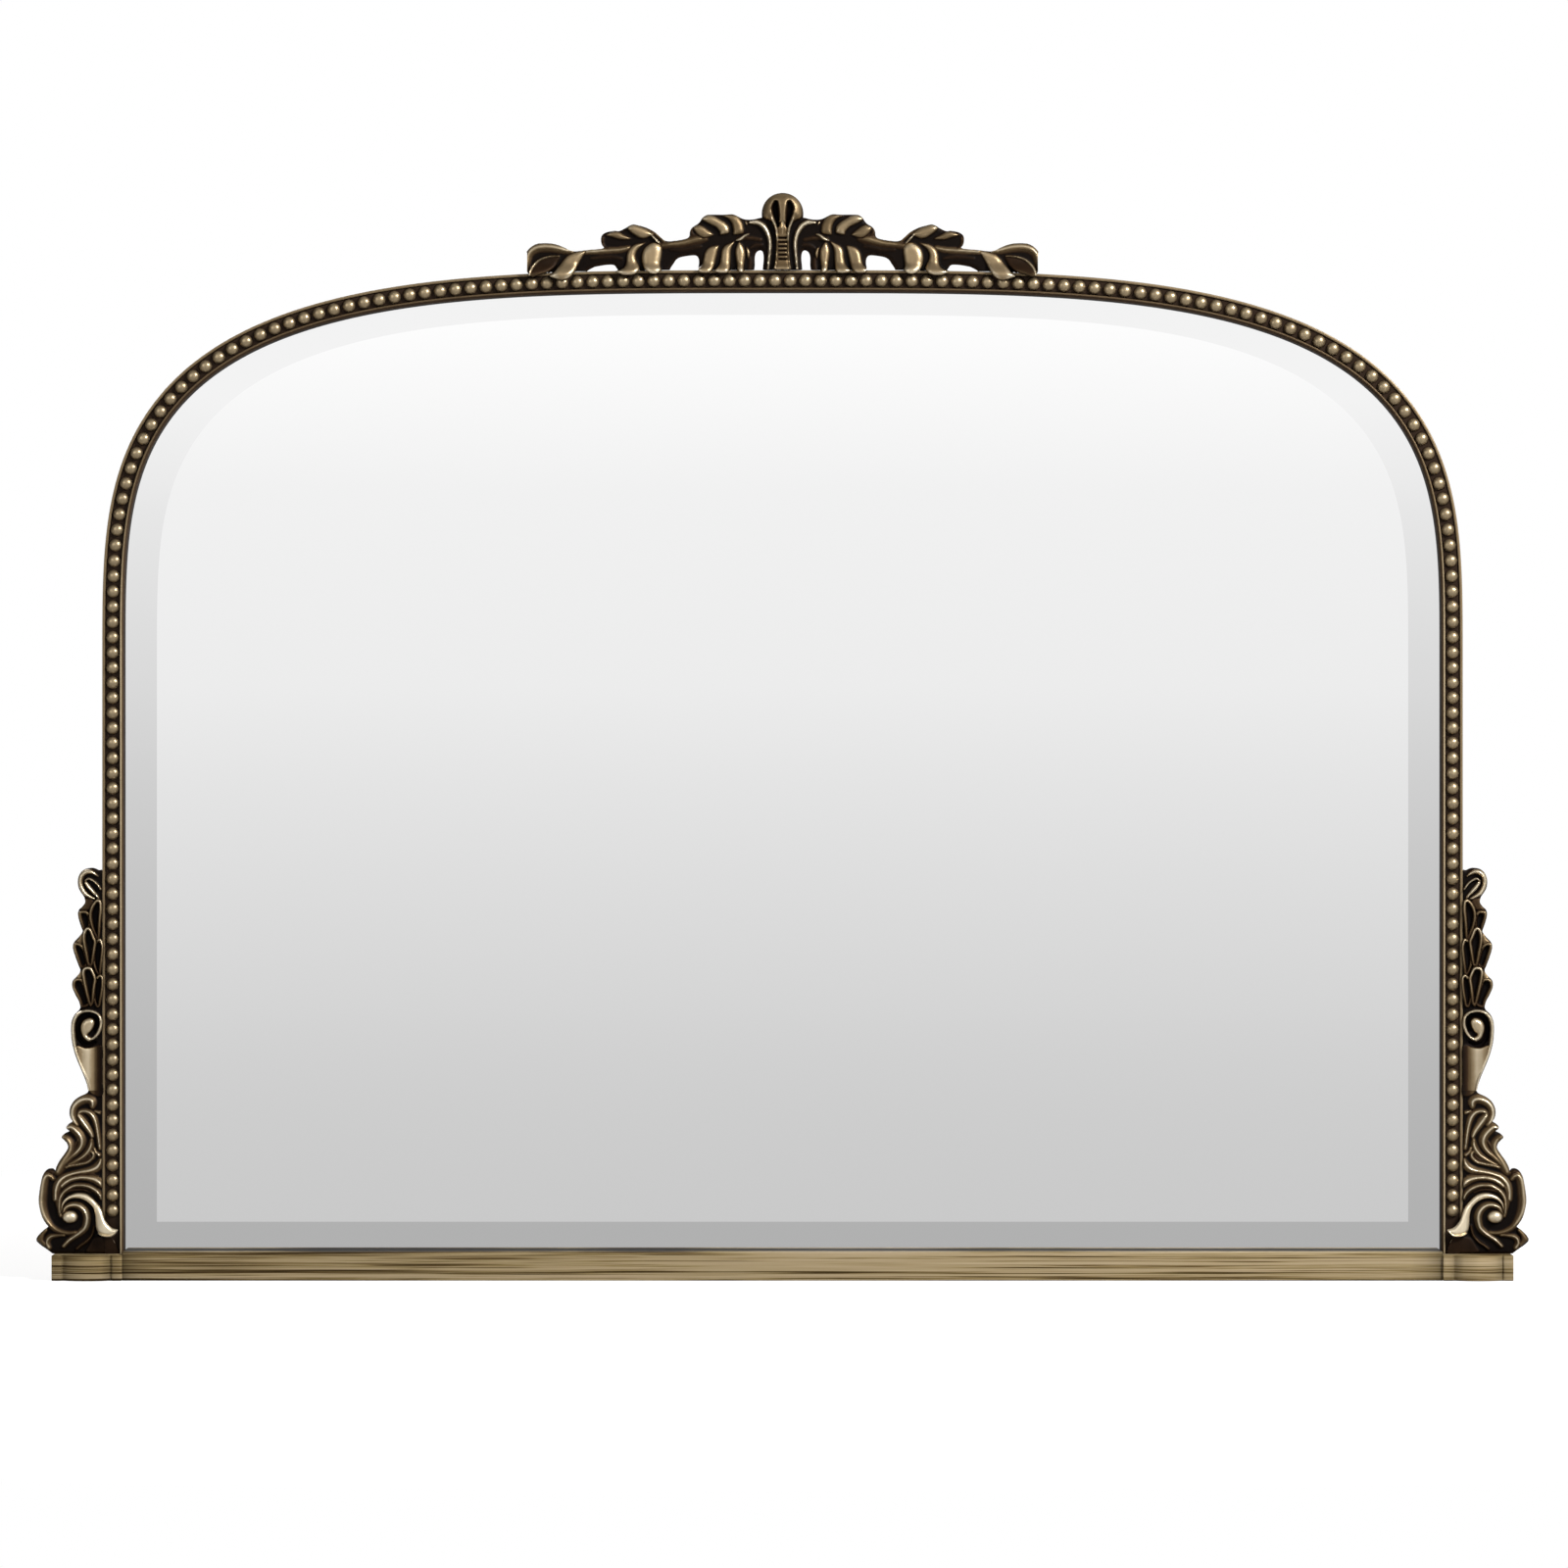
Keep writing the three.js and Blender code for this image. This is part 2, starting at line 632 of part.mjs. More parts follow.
// The crest's left half, in x from the middle and z from the top of the head.
const crestEdge = [
  [-207.7, 11], [-204.6, 17], [-197, 20.5], [-186, 20.9], [-178, 18.6], [-168.7, 14.7], [-156.8, 15.8],
  [-145, 17.4], [-145.6, 25], [-141, 29.2], [-131.9, 30.7], [-125, 34], [-118, 35.6], [-110, 33.6],
  [-100.7, 27.8], [-93.6, 22.5], [-84, 23], [-75.4, 26.9], [-73, 32.8], [-63.2, 42.8], [-57.3, 44.2],
  [-40.7, 44.2], [-33.6, 41.2], [-24.9, 39.7], [-16, 41.9],
];
const crestHooks = [
  [[-169.5, 13.8, 0.8], [-178.1, 17, 1.9], [-188.4, 19, 2.4], [-197, 18.6, 2.5], [-203.4, 15, 2.5],
    [-205.4, 8.7, 2.3], [-205.6, 1.6, 2], [-204.8, -4, 1.2]],
  [[-167.9, 14, 1.1], [-156.8, 14.2, 1.7], [-145.8, 15, 1.8], [-127.6, 15.8, 1.3]],
  [[-104.3, 28, 1], [-101.5, 24.5, 1.2], [-97.6, 20.9, 1.3], [-92, 19.3, 1.4]],
  [[-96, 19, 1.3], [-85.7, 20.5, 1.8], [-74.7, 22.1, 2], [-66, 23.9, 1.2]],
  [[-66.8, 22.7, 1.6], [-50.2, 23.9, 1.6], [-34.4, 25.3, 1.6], [-16.2, 26.5, 1.3]],
  [[-29.8, 18.5, 0.7], [-28, 15.4, 1.6], [-27.5, 11, 1.6], [-28.4, 6.3, 1.1], [-29.5, 2.8, 0.6]],
];
const crestLeaves = [
  [[-178.9, 9.5, 0.8], [-187.6, 5.1, 4], [-195.5, 1.2, 4], [-200.7, -4, 2.2], [-202.6, -7, 0.9]],
  [[-158.8, 14.2, 1], [-165.5, 11.5, 3.6], [-171.4, 5.5, 5.5], [-177, -2, 5.1], [-182, -7, 2.8],
    [-186, -6.7, 1]],
  [[-141.4, 27.8, 0.8], [-135.5, 27.9, 2.1], [-129.2, 26.9, 2.8], [-124.4, 25.3, 1.6], [-121.3, 23.5, 0.8]],
  [[-124.8, 33.6, 0.8], [-120.5, 32.3, 2.8], [-114.9, 30.4, 3.7], [-108.6, 28.6, 2.4], [-103.5, 27.8, 0.8]],
  [[-110.6, 21.3, 1.2], [-117.7, 18.2, 3.2], [-121.4, 12.6, 4], [-122.6, 6.3, 5.1], [-124, 0, 7.4],
    [-124.4, -4.3, 5.5]],
  [[-105.9, 20.5, 2.8], [-104.5, 15.8, 6.8], [-105.9, 9.5, 7.5], [-105.2, 2.4, 6.6], [-103.1, -2.8, 3.8]],
  [[-70.9, 34.4, 1], [-67.2, 31.6, 3.6], [-62.4, 28.4, 3.6], [-56.1, 26.6, 0.9]],
  [[-63.2, 41.7, 1.2], [-57.3, 39.7, 4], [-51, 35.9, 4.3], [-46.8, 31.6, 4], [-46.2, 28, 3]],
  [[-47, 42.2, 1], [-41.5, 41.3, 3.2], [-37.1, 37.9, 4.6], [-35.6, 33.2, 4.4], [-35.6, 28.7, 4]],
  [[-52.1, 19, 1.2], [-56.9, 15.4, 4.6], [-58.5, 9.5, 5.1], [-60.4, 3.2, 5.1], [-63.6, -1.8, 4.3],
    [-66, -2.9, 2.4]],
  [[-39.5, 21.7, 1], [-45, 17, 3.6], [-46.5, 11, 4.3], [-47.2, 4.7, 4.7], [-48.7, -0.4, 5],
    [-49.8, -3.2, 3.2]],
  [[-35.9, 22.3, 1], [-33.7, 16.6, 3.6], [-33.6, 10.3, 4], [-34, 4, 3.6], [-33.8, -2.4, 2.2]],
];
const crestPiercings = [
  [[-156.5, 0], [-153, 2.2], [-149, 3.2], [-137.5, 4.2], [-134.7, 2.6], [-135.5, 0]],
  [[-89.5, 0], [-88.5, 9], [-80.5, 11], [-71, 12], [-68, 10], [-67.5, 5], [-69.3, 0]],
  [[-22, 0], [-21.8, 7], [-22.5, 12], [-18.7, 15.5], [-15.8, 15], [-15.4, 10], [-16.7, 0]],
];
const cartoucheScroll = [
  [-26.5, 38, 1], [-20.9, 38.8, 2], [-15, 35.8, 2.5], [-11, 29.6, 2.5], [-9.3, 22, 2.4], [-9.9, 13.4, 2],
  [-10.9, 6.3, 1.7], [-11.7, 0.8, 1.1],
];
const vaseRim = [
  [0.5, 58.3, 1.2], [-6, 57, 1.4], [-11, 52, 1.5], [-12.6, 46.5, 1.5], [-10.8, 40.5, 1.4], [-7.6, 34.5, 1.3],
  [-5.2, 28, 1.3], [-4.4, 20, 1.4], [-4.9, 10.3, 1.4], [-6.3, 1.2, 1.3],
];
const vaseBody = [[0, 44, 7], [0, 36, 7], [0, 29, 4.6], [0, 20, 3.8], [0, 12, 4.2], [0, 2, 5.6]];
const vaseHeadRadius = 16.6;
const vaseHeadHeight = 45;
const vaseHeadRise = 8;
const vaseRimRise = 7.6;
const vaseBodyRise = 4.6;
const vaseHollow = { x: 5, z: 46, halfWidth: 3, halfHeight: 8.5, halfDepth: 5.5 };
const vaseGrooves = { count: 6, first: 8.3, pitch: 3.45, radius: 0.9, halfWidth: 3.6 };
const middleLap = 0.01;
const crestRise = 8.5;
const ridgeRise = 6;

function crest() {
  const lowerEdge = -mouldingWidth;
  const edgeEnd = crestEdge.at(-1)[1];
  const toHead = (part) => part.translate([0, 0, headTop]);
  const half = [
    ground(crestEdge, [[middleLap, edgeEnd], [middleLap, lowerEdge], [-crestRun, lowerEdge]]),
    ...crestHooks.map((points) => stroke(points, ridgeRise)),
    ...crestLeaves.map((points) => stroke(points, crestRise, crown)),
    stroke(cartoucheScroll, ridgeRise),
    stroke(vaseRim, vaseRimRise, ridge, 9),
  ];
  const left = cut(join(half), crestPiercings.map((outline) => (
    solid(panel(outline.map(([x, z]) => [x, z === 0 ? lowerEdge : z]), -crestRise, castingBack + 1))
  )));
  const dome = new THREE.SphereGeometry(1, 16, 8);
  dome.scale(vaseHeadRadius, vaseHeadRise, vaseHeadRadius);
  dome.translate(0, leafRoot, vaseHeadHeight);
  const hollows = sides.map(([, side]) => {
    const tear = new THREE.SphereGeometry(1, 8, 6);
    tear.scale(vaseHollow.halfWidth, vaseHollow.halfDepth, vaseHollow.halfHeight);
    tear.translate(side * vaseHollow.x, -vaseHeadRise, vaseHollow.z);
    return solid(tear);
  });
  const grooves = Array.from({ length: vaseGrooves.count }, (_, index) => solid(rod(
    vaseGrooves.radius, 2 * vaseGrooves.halfWidth, pinSides,
    [-vaseGrooves.halfWidth, -vaseBodyRise, vaseGrooves.first + index * vaseGrooves.pitch], alongX,
  )));
  const middle = cut(join([
    solid(dome).subtract(solid(boxBehind())), stroke(vaseBody, vaseBodyRise, crown, 5),
  ]), [...hollows, ...grooves]);
  const whole = left.add(solid(mirrored(surface(left)))).add(middle);
  const fitted = cut(toHead(whole), [
    solid(sweep(mouldingEnvelope(), archPath())), ...crestPinHoles,
  ]);
  place('crest', surface(fitted), 'giltCasting');
  crestPins.forEach((x, index) => {
    place(`crest_pin_${index + 1}`, rod(pinRadius, pinLength, pinSides, crestPinAt(x), alongZ), 'brass');
  });
}

// Everything behind the castings' back plane, to flatten a rounded form there.
function boxBehind() {
  const reach = 4 * vaseHeadRadius;
  const block = new THREE.BoxGeometry(reach, reach, reach);
  block.translate(0, castingBack + reach / 2, vaseHeadHeight);
  return block;
}

// The left side ornaments, in x from the frame's outer edge and z from the top of the plinth.
const castingSeam = 131.5;
const huskEdge = [
  [1, 310], [-3.4, 309], [-7.7, 309.9], [-13.7, 309.5], [-17.6, 305.2], [-19.2, 299.6], [-17.9, 293.3],
  [-14.2, 286.6], [-14.2, 282.7], [-18.4, 277], [-19, 272], [-17.6, 265], [-16, 259.8], [-19.8, 253.8],
  [-22.9, 249], [-21.6, 240.4], [-18.6, 230], [-22.8, 221.8], [-23.9, 215.9], [-21.2, 208], [-17.9, 199.3],
  [-21.6, 193], [-24.6, 184.3], [-24.6, 176.4], [-22.8, 163.8], [-19.2, 151.9], [-14.6, 141.3],
  [-11.8, castingSeam],
];
const huskStrokes = [
  [[-3.8, 304.8, 0.8], [-8, 307.6, 1.6], [-13.7, 307, 2.2], [-17, 303, 2.3], [-17, 297.3, 2.3],
    [-14.3, 291, 2.2], [-9.3, 287.2, 1.7], [-5, 285.8, 0.8]],
  [[-3.4, 297.7, 0.7], [-7.7, 301, 0.9], [-11.6, 301.6, 1.3], [-13.6, 299, 1.6], [-11.7, 294.5, 1.8],
    [-7.7, 290.7, 1.6], [-4, 287.2, 0.8]],
  [[-10.9, 172.2, 1.6], [-6.2, 173.8, 1.5], [-2.8, 179.2, 1.4], [-1.8, 185.9, 1.3], [-2.9, 191.6, 1.3],
    [-7.3, 195, 1.3], [-13.7, 195.3, 1.5], [-19.4, 192.2, 1.7], [-22.6, 186.5, 1.9], [-23.2, 178.8, 1.9],
    [-22.2, 169.3, 1.3], [-19.6, 158.2, 1], [-15.7, 148.8, 1], [-12.2, 140.9, 1], [-10.6, 133.5, 0.8]],
];
const huskCrowns = [
  [[-7.6, 187.9, 1.3], [-11.3, 185.3, 4], [-13.7, 180.4, 4], [-13, 175.2, 2.7], [-10.9, 172, 1.6]],
  [[-11.3, 168.5, 5.5], [-10.9, 159, 7.4], [-8.9, 148, 6.3], [-6.8, 138.5, 4], [-6, 132.5, 2.4]],
];
const huskPetals = [
  [[-5.8, 251.5], [-2.8, 284.6], 4.6],
  [[-12.9, 261.7], [-14.5, 275.6], 3.4],
  [[-10.5, 231.7], [-12, 260.5], 4.4],
  [[-14.5, 230.9], [-20, 250.2], 3],
  [[-5, 230], [-2.8, 251.3], 3.4],
  [[-9.3, 199.3], [-11.3, 230.5], 5],
  [[-14.5, 197.7], [-20, 220], 3.4],
  [[-5, 198.5], [-1.8, 223.3], 3.2],
];
const acanthusEdge = [
  [-11.8, castingSeam], [-19.8, 125], [-24.6, 120], [-26, 114.8], [-24.2, 107.4], [-28, 102.3], [-27.7, 99],
  [-32.2, 94.2], [-28.5, 88], [-28.3, 84], [-34.6, 75.3], [-38, 68], [-43.4, 66.9], [-47.6, 61.2],
  [-50.3, 50],
  [-50, 40.5], [-47.6, 27.9], [-43.9, 22.5], [-48.9, 18], [-52.5, 12], [-47, 6.2], [-40.8, 0],
];
const acanthusStrokes = [
  [[-7.2, 119.4, 1.3], [-7.9, 122.8, 2.3], [-11.7, 125, 2.1], [-16.8, 124.5, 1.7], [-21.6, 121.7, 1.7],
    [-24.1, 117.2, 1.7], [-24, 111.6, 1.4], [-21.6, 106.5, 1.2], [-17.6, 101.4, 0.8]],
  [[-19.8, 112.4, 0.8], [-17.6, 114.8, 1], [-12.9, 114.9, 1.1], [-8.5, 112.4, 1.4], [-5.5, 107.7, 1.3],
    [-3.6, 101.4, 1.1], [-2.6, 93.5, 1], [-2, 85.6, 0.8]],
  [[-19.8, 112, 0.9], [-17.6, 109, 1.6], [-13.7, 104.8, 1.7], [-10.5, 100, 1.5], [-8, 94.2, 0.8]],
  [[-27.9, 101.4, 1], [-24.7, 101.6, 1.4], [-20.4, 99.4, 1.6], [-16.8, 95, 1.6], [-15.4, 90.7, 1.6],
    [-17.2, 86, 1.2], [-21.6, 80.8, 1], [-27, 75.7, 1], [-32.4, 70.5, 1]],
  [[-31.6, 94, 0.9], [-28, 91.3, 2], [-25.6, 86.7, 2.7], [-27.4, 80.8, 3], [-31.8, 75.2, 2.7],
    [-35.2, 69, 2.3], [-36.4, 65, 1.3]],
  [[-9.4, 91.9, 0.8], [-9.7, 87.9, 1.7], [-11.3, 83.6, 1.5], [-15.2, 78.4, 1], [-21.6, 73.9, 0.9],
    [-28.3, 70, 0.8]],
  [[-8, 82.2, 0.8], [-8.7, 79.9, 1.8], [-12, 77.3, 1.9], [-17.6, 74.5, 1.3], [-24.3, 71.8, 0.8]],
  [[-1.8, 76.9, 0.8], [-2.6, 72.9, 1.7], [-5.8, 69, 1.5], [-12, 66.8, 1], [-20, 65.6, 0.9], [-27.9, 63.8, 1],
    [-33.8, 59.9, 1.3], [-36.3, 54, 1.7], [-36.9, 46, 1.7], [-35.9, 38.2, 1.5], [-32.6, 31, 1.1]],
  [[-34.6, 53.6, 0.8], [-30.7, 58, 0.9], [-24.7, 60.8, 1], [-16.8, 61.5, 1.1], [-9.7, 61, 1.5],
    [-4.2, 58.7, 1.8], [-1.4, 56, 0.8]],
  [[-35.8, 46, 0.8], [-33, 50.2, 1], [-27.9, 53.8, 1.1], [-20.8, 55.5, 1.1], [-13.7, 55, 1],
    [-7.3, 52.4, 1.1], [-3.4, 48.8, 1], [-1.2, 45, 0.7]],
  [[-4.7, 26.3, 0.8], [-5.8, 19.6, 0.9], [-9.3, 13.7, 0.9], [-14.9, 8.5, 0.8], [-20, 4.2, 0.7]],
  [[-31, 32.6, 0.9], [-29, 36.7, 1.1], [-24.3, 38.7, 1.2], [-19.2, 38.2, 1.5], [-15, 35.2, 1.6],
    [-13.4, 30.3, 1.5], [-14.2, 24.7, 1.3], [-17.6, 20, 1.2], [-23, 16.4, 1], [-28.7, 11.3, 0.9],
    [-32.2, 5.8, 0.7]],
  [[-41.3, 62.4, 1.4], [-45.8, 58.7, 2.2], [-47.7, 53.2, 2.4], [-48, 46, 2.4], [-47, 38.6, 2.4],
    [-45, 31, 2.3], [-42, 24.5, 1.7], [-37.5, 19.8, 1.1], [-31.8, 16.8, 0.9], [-25.9, 16.4, 0.8]],
  [[-34.2, 15.6, 0.7], [-40, 14.9, 0.9], [-44, 12.5, 1], [-45.3, 8.7, 0.9], [-44, 5.4, 0.7]],
];
const acanthusCrowns = [
  [[-33.6, 33.4, 0.7], [-33.4, 38.9, 0.9], [-30.7, 43.5, 1.3], [-25, 46.3, 1.8], [-18.4, 47, 2.3],
    [-12, 44.7, 2.8], [-7, 39.9, 3.4], [-3.6, 33.4, 3.6], [-2, 27, 4.2], [2.4, 21.4, 6.2], [6.6, 18.2, 6],
    [9.1, 16.7, 4.4]],
  [[-42.9, 20.4, 0.9], [-47, 16.4, 2.8], [-49.5, 12, 2.8], [-47, 8.4, 1.9], [-42.5, 4.6, 0.9]],
];
const scrollEye = { x: -26.2, z: 29.8, halfWidth: 6.5, halfHeight: 5.3, rise: 6 };
const sideRise = 6.5;
const petalKeep = 1.5;

function sideCastings() {
  const sideEnvelope = solid(sweep(mouldingEnvelope(), stilePath(-1, -plinthHeight)));
  const toPlinth = (part) => part.translate([-outerHalfWidth, 0, plinthHeight]);
  const husk = toPlinth(join([
    ground(huskEdge, [[petalKeep, castingSeam], [petalKeep, huskEdge[0][1]]]),
    ...huskStrokes.map((points) => stroke(points, sideRise)),
    ...huskCrowns.map((points) => stroke(points, sideRise * 0.7, crown)),
    ...huskPetals.map(([base, tip, half]) => petal(base, tip, half)),
  ]));
  const eye = new THREE.SphereGeometry(1, 10, 6);
  eye.scale(scrollEye.halfWidth, scrollEye.rise, scrollEye.halfHeight);
  eye.translate(scrollEye.x, leafRoot, scrollEye.z);
  const acanthus = toPlinth(join([
    ground(acanthusEdge, [[petalKeep, 0], [petalKeep, castingSeam]]),
    ...acanthusStrokes.map((points) => stroke(points, sideRise)),
    ...acanthusCrowns.map((points) => stroke(points, sideRise + 2, crown)),
    solid(eye),
  ]));
  const seamZ = plinthHeight + castingSeam;
  const huskCuts = [sideEnvelope, slabBelow(seamZ + clearance / 2), ...sidePinHoles(-1, huskPins)];
  const acanthusCuts = [
    sideEnvelope, slabBelow(seamZ - clearance / 2 + outerHalfWidth), slabBelow(plinthHeight),
    ...sidePinHoles(-1, acanthusPins),
  ];
  placeCasting('husk_drop', cut(husk, huskCuts), 'husk_pin', huskPins);
  placeCasting('acanthus_scroll', cut(acanthus, acanthusCuts), 'acanthus_pin', acanthusPins);
}

// A casting at the left, its mirror image at the right and the pins that hold them.
function placeCasting(name, part, pinName, heights) {
  const left = surface(part);
  place(`${name}_left`, left, 'giltCasting');
  place(`${name}_right`, mirrored(left), 'giltCasting');
  sides.forEach(([sideName, side]) => heights.forEach((z, index) => {
    const pin = rod(pinRadius, pinLength, pinSides, sidePinAt(side, z), alongX);
    place(`${pinName}_${sideName}_${index + 1}`, pin, 'brass');
  }));
}

// A cube of space under a level, round the left castings and as deep as they are far from the middle.
function slabBelow(z) {
  const block = new THREE.BoxGeometry(outerHalfWidth, outerHalfWidth, outerHalfWidth);
  block.translate(-outerHalfWidth, 0, z - outerHalfWidth / 2);
  return solid(block);
}

// ---- hangers ----

function hangers() {
  const knuckle = wireRadius + clearance + strapThickness;
  return sides.map(([name, side]) => (
    { name, knuckle, at: [side * hangerX, boardBack + knuckle, hangerHeight] }
  ));
}

function hanger({ name, knuckle, at: [x, y, z] }) {
  const left = x - strapWidth / 2;
  const strap = new THREE.BoxGeometry(strapWidth, strapThickness, strapDrop);
  strap.translate(x, boardBack + strapThickness / 2, z - strapDrop / 2);
  const screws = hangerScrewDrops.map((drop) => [x, boardBack + strapThickness, z - drop]);
  const plate = cut(solid(strap).add(solid(rod(knuckle, strapWidth, 20, [left, y, z], alongX))), [
    solid(rod(wireRadius + clearance, strapWidth + 2, 20, [left - 1, y, z], alongX)),
    ...screws.map((at) => hole(hangerScrewRadius, hangerScrewLength, screwSides, at, towardsRoom)),
  ]);
  place(`hanger_plate_${name}`, surface(plate), 'steel');
  screws.forEach((at, index) => {
    const screw = panScrew(hangerScrewHead, hangerScrewHeadHeight, hangerScrewRadius, hangerScrewLength, at);
    place(`hanger_screw_${name}_${index + 1}`, screw, 'steel');
  });
  place(`hanger_ring_${name}`, ring([x, y, z]), 'steel');
}

// The D-shaped ring of round wire: a straight bar through the knuckle and a bow that hangs below it.
function ring([x, y, z]) {
  const corner = 3;
  const path = new THREE.Path();
  path.moveTo(-ringHalfWidth + corner, 0);
  path.lineTo(ringHalfWidth - corner, 0);
  path.quadraticCurveTo(ringHalfWidth, 0, ringHalfWidth, -corner);
  const [shoulder, belly] = [-ringDrop * 0.75, ringHalfWidth * 0.6];
  path.bezierCurveTo(ringHalfWidth, shoulder, belly, -ringDrop, 0, -ringDrop);
  path.bezierCurveTo(-belly, -ringDrop, -ringHalfWidth, shoulder, -ringHalfWidth, -corner);
  path.quadraticCurveTo(-ringHalfWidth, 0, -ringHalfWidth + corner, 0);
  const points = path.getPoints(4);
  points.pop();
  const shape = 6;
  const rings = points.map((point, index) => {
    const before = points[(index + points.length - 1) % points.length];
    const after = points[(index + 1) % points.length];
    const heading = new THREE.Vector2().subVectors(after, before).normalize();
    return Array.from({ length: shape }, (_, side) => {
      const angle = 2 * Math.PI * side / shape;
      const out = wireRadius * Math.cos(angle);
      return new THREE.Vector3(
        x + point.x - heading.y * out, y + wireRadius * Math.sin(angle), z + point.y + heading.x * out,
      );
    });
  });
  return loft(rings, true);
}

frame();
beads();
glassAndBack();
sill();
plinths();
crest();
sideCastings();
hangers().forEach(hanger);

export default model;
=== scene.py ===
# Looks of the overmantel mirror. The pieces' sizes are in millimetres and become metres when they are placed.
import math
import bpy
import bmesh
import numpy as np
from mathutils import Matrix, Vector


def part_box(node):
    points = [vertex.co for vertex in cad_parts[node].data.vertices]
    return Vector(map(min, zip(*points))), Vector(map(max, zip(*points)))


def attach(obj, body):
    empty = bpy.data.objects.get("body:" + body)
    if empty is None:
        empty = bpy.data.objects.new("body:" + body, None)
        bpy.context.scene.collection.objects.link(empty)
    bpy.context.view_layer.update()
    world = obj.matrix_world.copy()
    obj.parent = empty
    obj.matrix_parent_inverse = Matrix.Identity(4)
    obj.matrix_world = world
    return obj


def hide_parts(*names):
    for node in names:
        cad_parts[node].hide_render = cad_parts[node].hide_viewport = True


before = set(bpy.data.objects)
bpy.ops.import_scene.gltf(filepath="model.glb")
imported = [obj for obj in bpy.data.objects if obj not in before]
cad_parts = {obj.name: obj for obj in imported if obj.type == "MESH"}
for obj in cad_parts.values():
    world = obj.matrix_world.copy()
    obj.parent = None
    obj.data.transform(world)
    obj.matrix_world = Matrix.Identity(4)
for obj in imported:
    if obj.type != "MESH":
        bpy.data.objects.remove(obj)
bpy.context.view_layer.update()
mm = 0.001
sides = (("left", -1), ("right", 1))
print("frame loaded:", len(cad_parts), "nodes")


def linear(hexColour):
    channels = [int(hexColour[i:i + 2], 16) / 255 for i in (1, 3, 5)]
    return tuple(c / 12.92 if c <= 0.04045 else ((c + 0.055) / 1.055) ** 2.4 for c in channels) + (1,)


def addNode(tree, kind, settings=None, links=None, stops=None):
    node = tree.nodes.new("ShaderNode" + kind)
    for key, value in (settings or {}).items():
        if isinstance(key, int) or key in node.inputs:
            node.inputs[key].default_value = value
        else:
            setattr(node, key, value)
    for key, source in (links or {}).items():
        tree.links.new(source, node.inputs[key])
    for index, (place, colour) in enumerate(stops or []):
        ramp = node.color_ramp.elements
        stop = ramp[index] if index < 2 else ramp.new(place)
        stop.position = place
        stop.color = linear(colour) if isinstance(colour, str) else (colour, colour, colour, 1)
    return node


def startMaterial(name):
    material = bpy.data.materials.new(name)
    material.use_nodes = True
    tree = material.node_tree
    tree.nodes.clear()
    shader = addNode(tree, "BsdfPrincipled")
    addNode(tree, "OutputMaterial", links={"Surface": shader.outputs["BSDF"]})
    return material, tree, shader


def giltMaterial(name, look):
    # Antique gilt: the piece's tone attribute runs from brown-black wax in the hollows to bright gilt, and also
    # carries painted shade and painted highlight.
    material, tree, shader = startMaterial(name)
    place = addNode(tree, "TexCoord").outputs["Object"]
    tone = addNode(tree, "Attribute", {"attribute_name": "tone"}).outputs["Fac"]
    mottle = addNode(tree, "TexNoise", {"Scale": 1000 / look["mottleSize"], "Detail": 4, "Roughness": 0.6},
                     {"Vector": place})
    uneven = addNode(tree, "Math", {"operation": "MULTIPLY_ADD", 1: look["mottle"], 2: -look["mottle"] / 2},
                     {0: mottle.outputs["Fac"]})
    toneAndMottle = addNode(tree, "Math", {"operation": "ADD"}, {0: tone, 1: uneven.outputs[0]})
    colour = addNode(tree, "ValToRGB", links={"Fac": toneAndMottle.outputs[0]}, stops=look["colours"])
    rough = addNode(tree, "MapRange", {"To Min": look["waxRoughness"], "To Max": look["giltRoughness"]},
                    {"Value": toneAndMottle.outputs[0]})
    metal = addNode(tree, "MapRange", {"From Min": 0.2, "From Max": 0.7, "To Max": look["metallic"]},
                    {"Value": toneAndMottle.outputs[0]})
    grain = addNode(tree, "TexNoise", {"Scale": 1000 / look["grainSize"], "Detail": 3}, {"Vector": place})
    bump = addNode(tree, "Bump", {"Strength": look["bump"], "Distance": 0.0004},
                   {"Height": grain.outputs["Fac"]})
    for socket, source in (("Base Color", colour.outputs["Color"]), ("Roughness", rough.outputs[0]),
                           ("Metallic", metal.outputs[0]), ("Normal", bump.outputs[0])):
        tree.links.new(source, shader.inputs[socket])
    shader.inputs["Specular IOR Level"].default_value = look["waxGloss"]
    return material


gilt = {
    "casting": {"mottleSize": 14, "mottle": 0.14, "grainSize": 1.1, "bump": 0.18, "metallic": 0.8,
                "waxRoughness": 0.6, "giltRoughness": 0.34, "waxGloss": 0.06,
                "colours": ((0, "#040100"), (0.2, "#0e0602"), (0.4, "#2a1c10"), (0.6, "#5a4a34"),
                            (0.78, "#927f62"), (1, "#e2d4b8"))},
    "bead": {"mottleSize": 22, "mottle": 0.12, "grainSize": 0.9, "bump": 0.1, "metallic": 0.8,
             "waxRoughness": 0.55, "giltRoughness": 0.28, "waxGloss": 0.06,
             "colours": ((0, "#060200"), (0.25, "#291d14"), (0.45, "#4d3e2e"), (0.7, "#837258"),
                         (0.9, "#ac9b7d"), (1, "#c9ba9b"))},
    "moulding": {"mottleSize": 30, "mottle": 0.12, "grainSize": 1.3, "bump": 0.16, "metallic": 0.55,
                 "waxRoughness": 0.55, "giltRoughness": 0.38, "waxGloss": 0.06,
                 "colours": ((0, "#0b0602"), (0.25, "#2c2015"), (0.4, "#463727"), (0.6, "#6a5a43"),
                             (0.85, "#a8977a"), (1, "#cbbc9b"))},
}
castGilt = giltMaterial("cast resin, antique gilt", gilt["casting"])
beadGilt = giltMaterial("moulded composition, antique gilt", gilt["bead"])
woodGilt = giltMaterial("gilded wood moulding", gilt["moulding"])


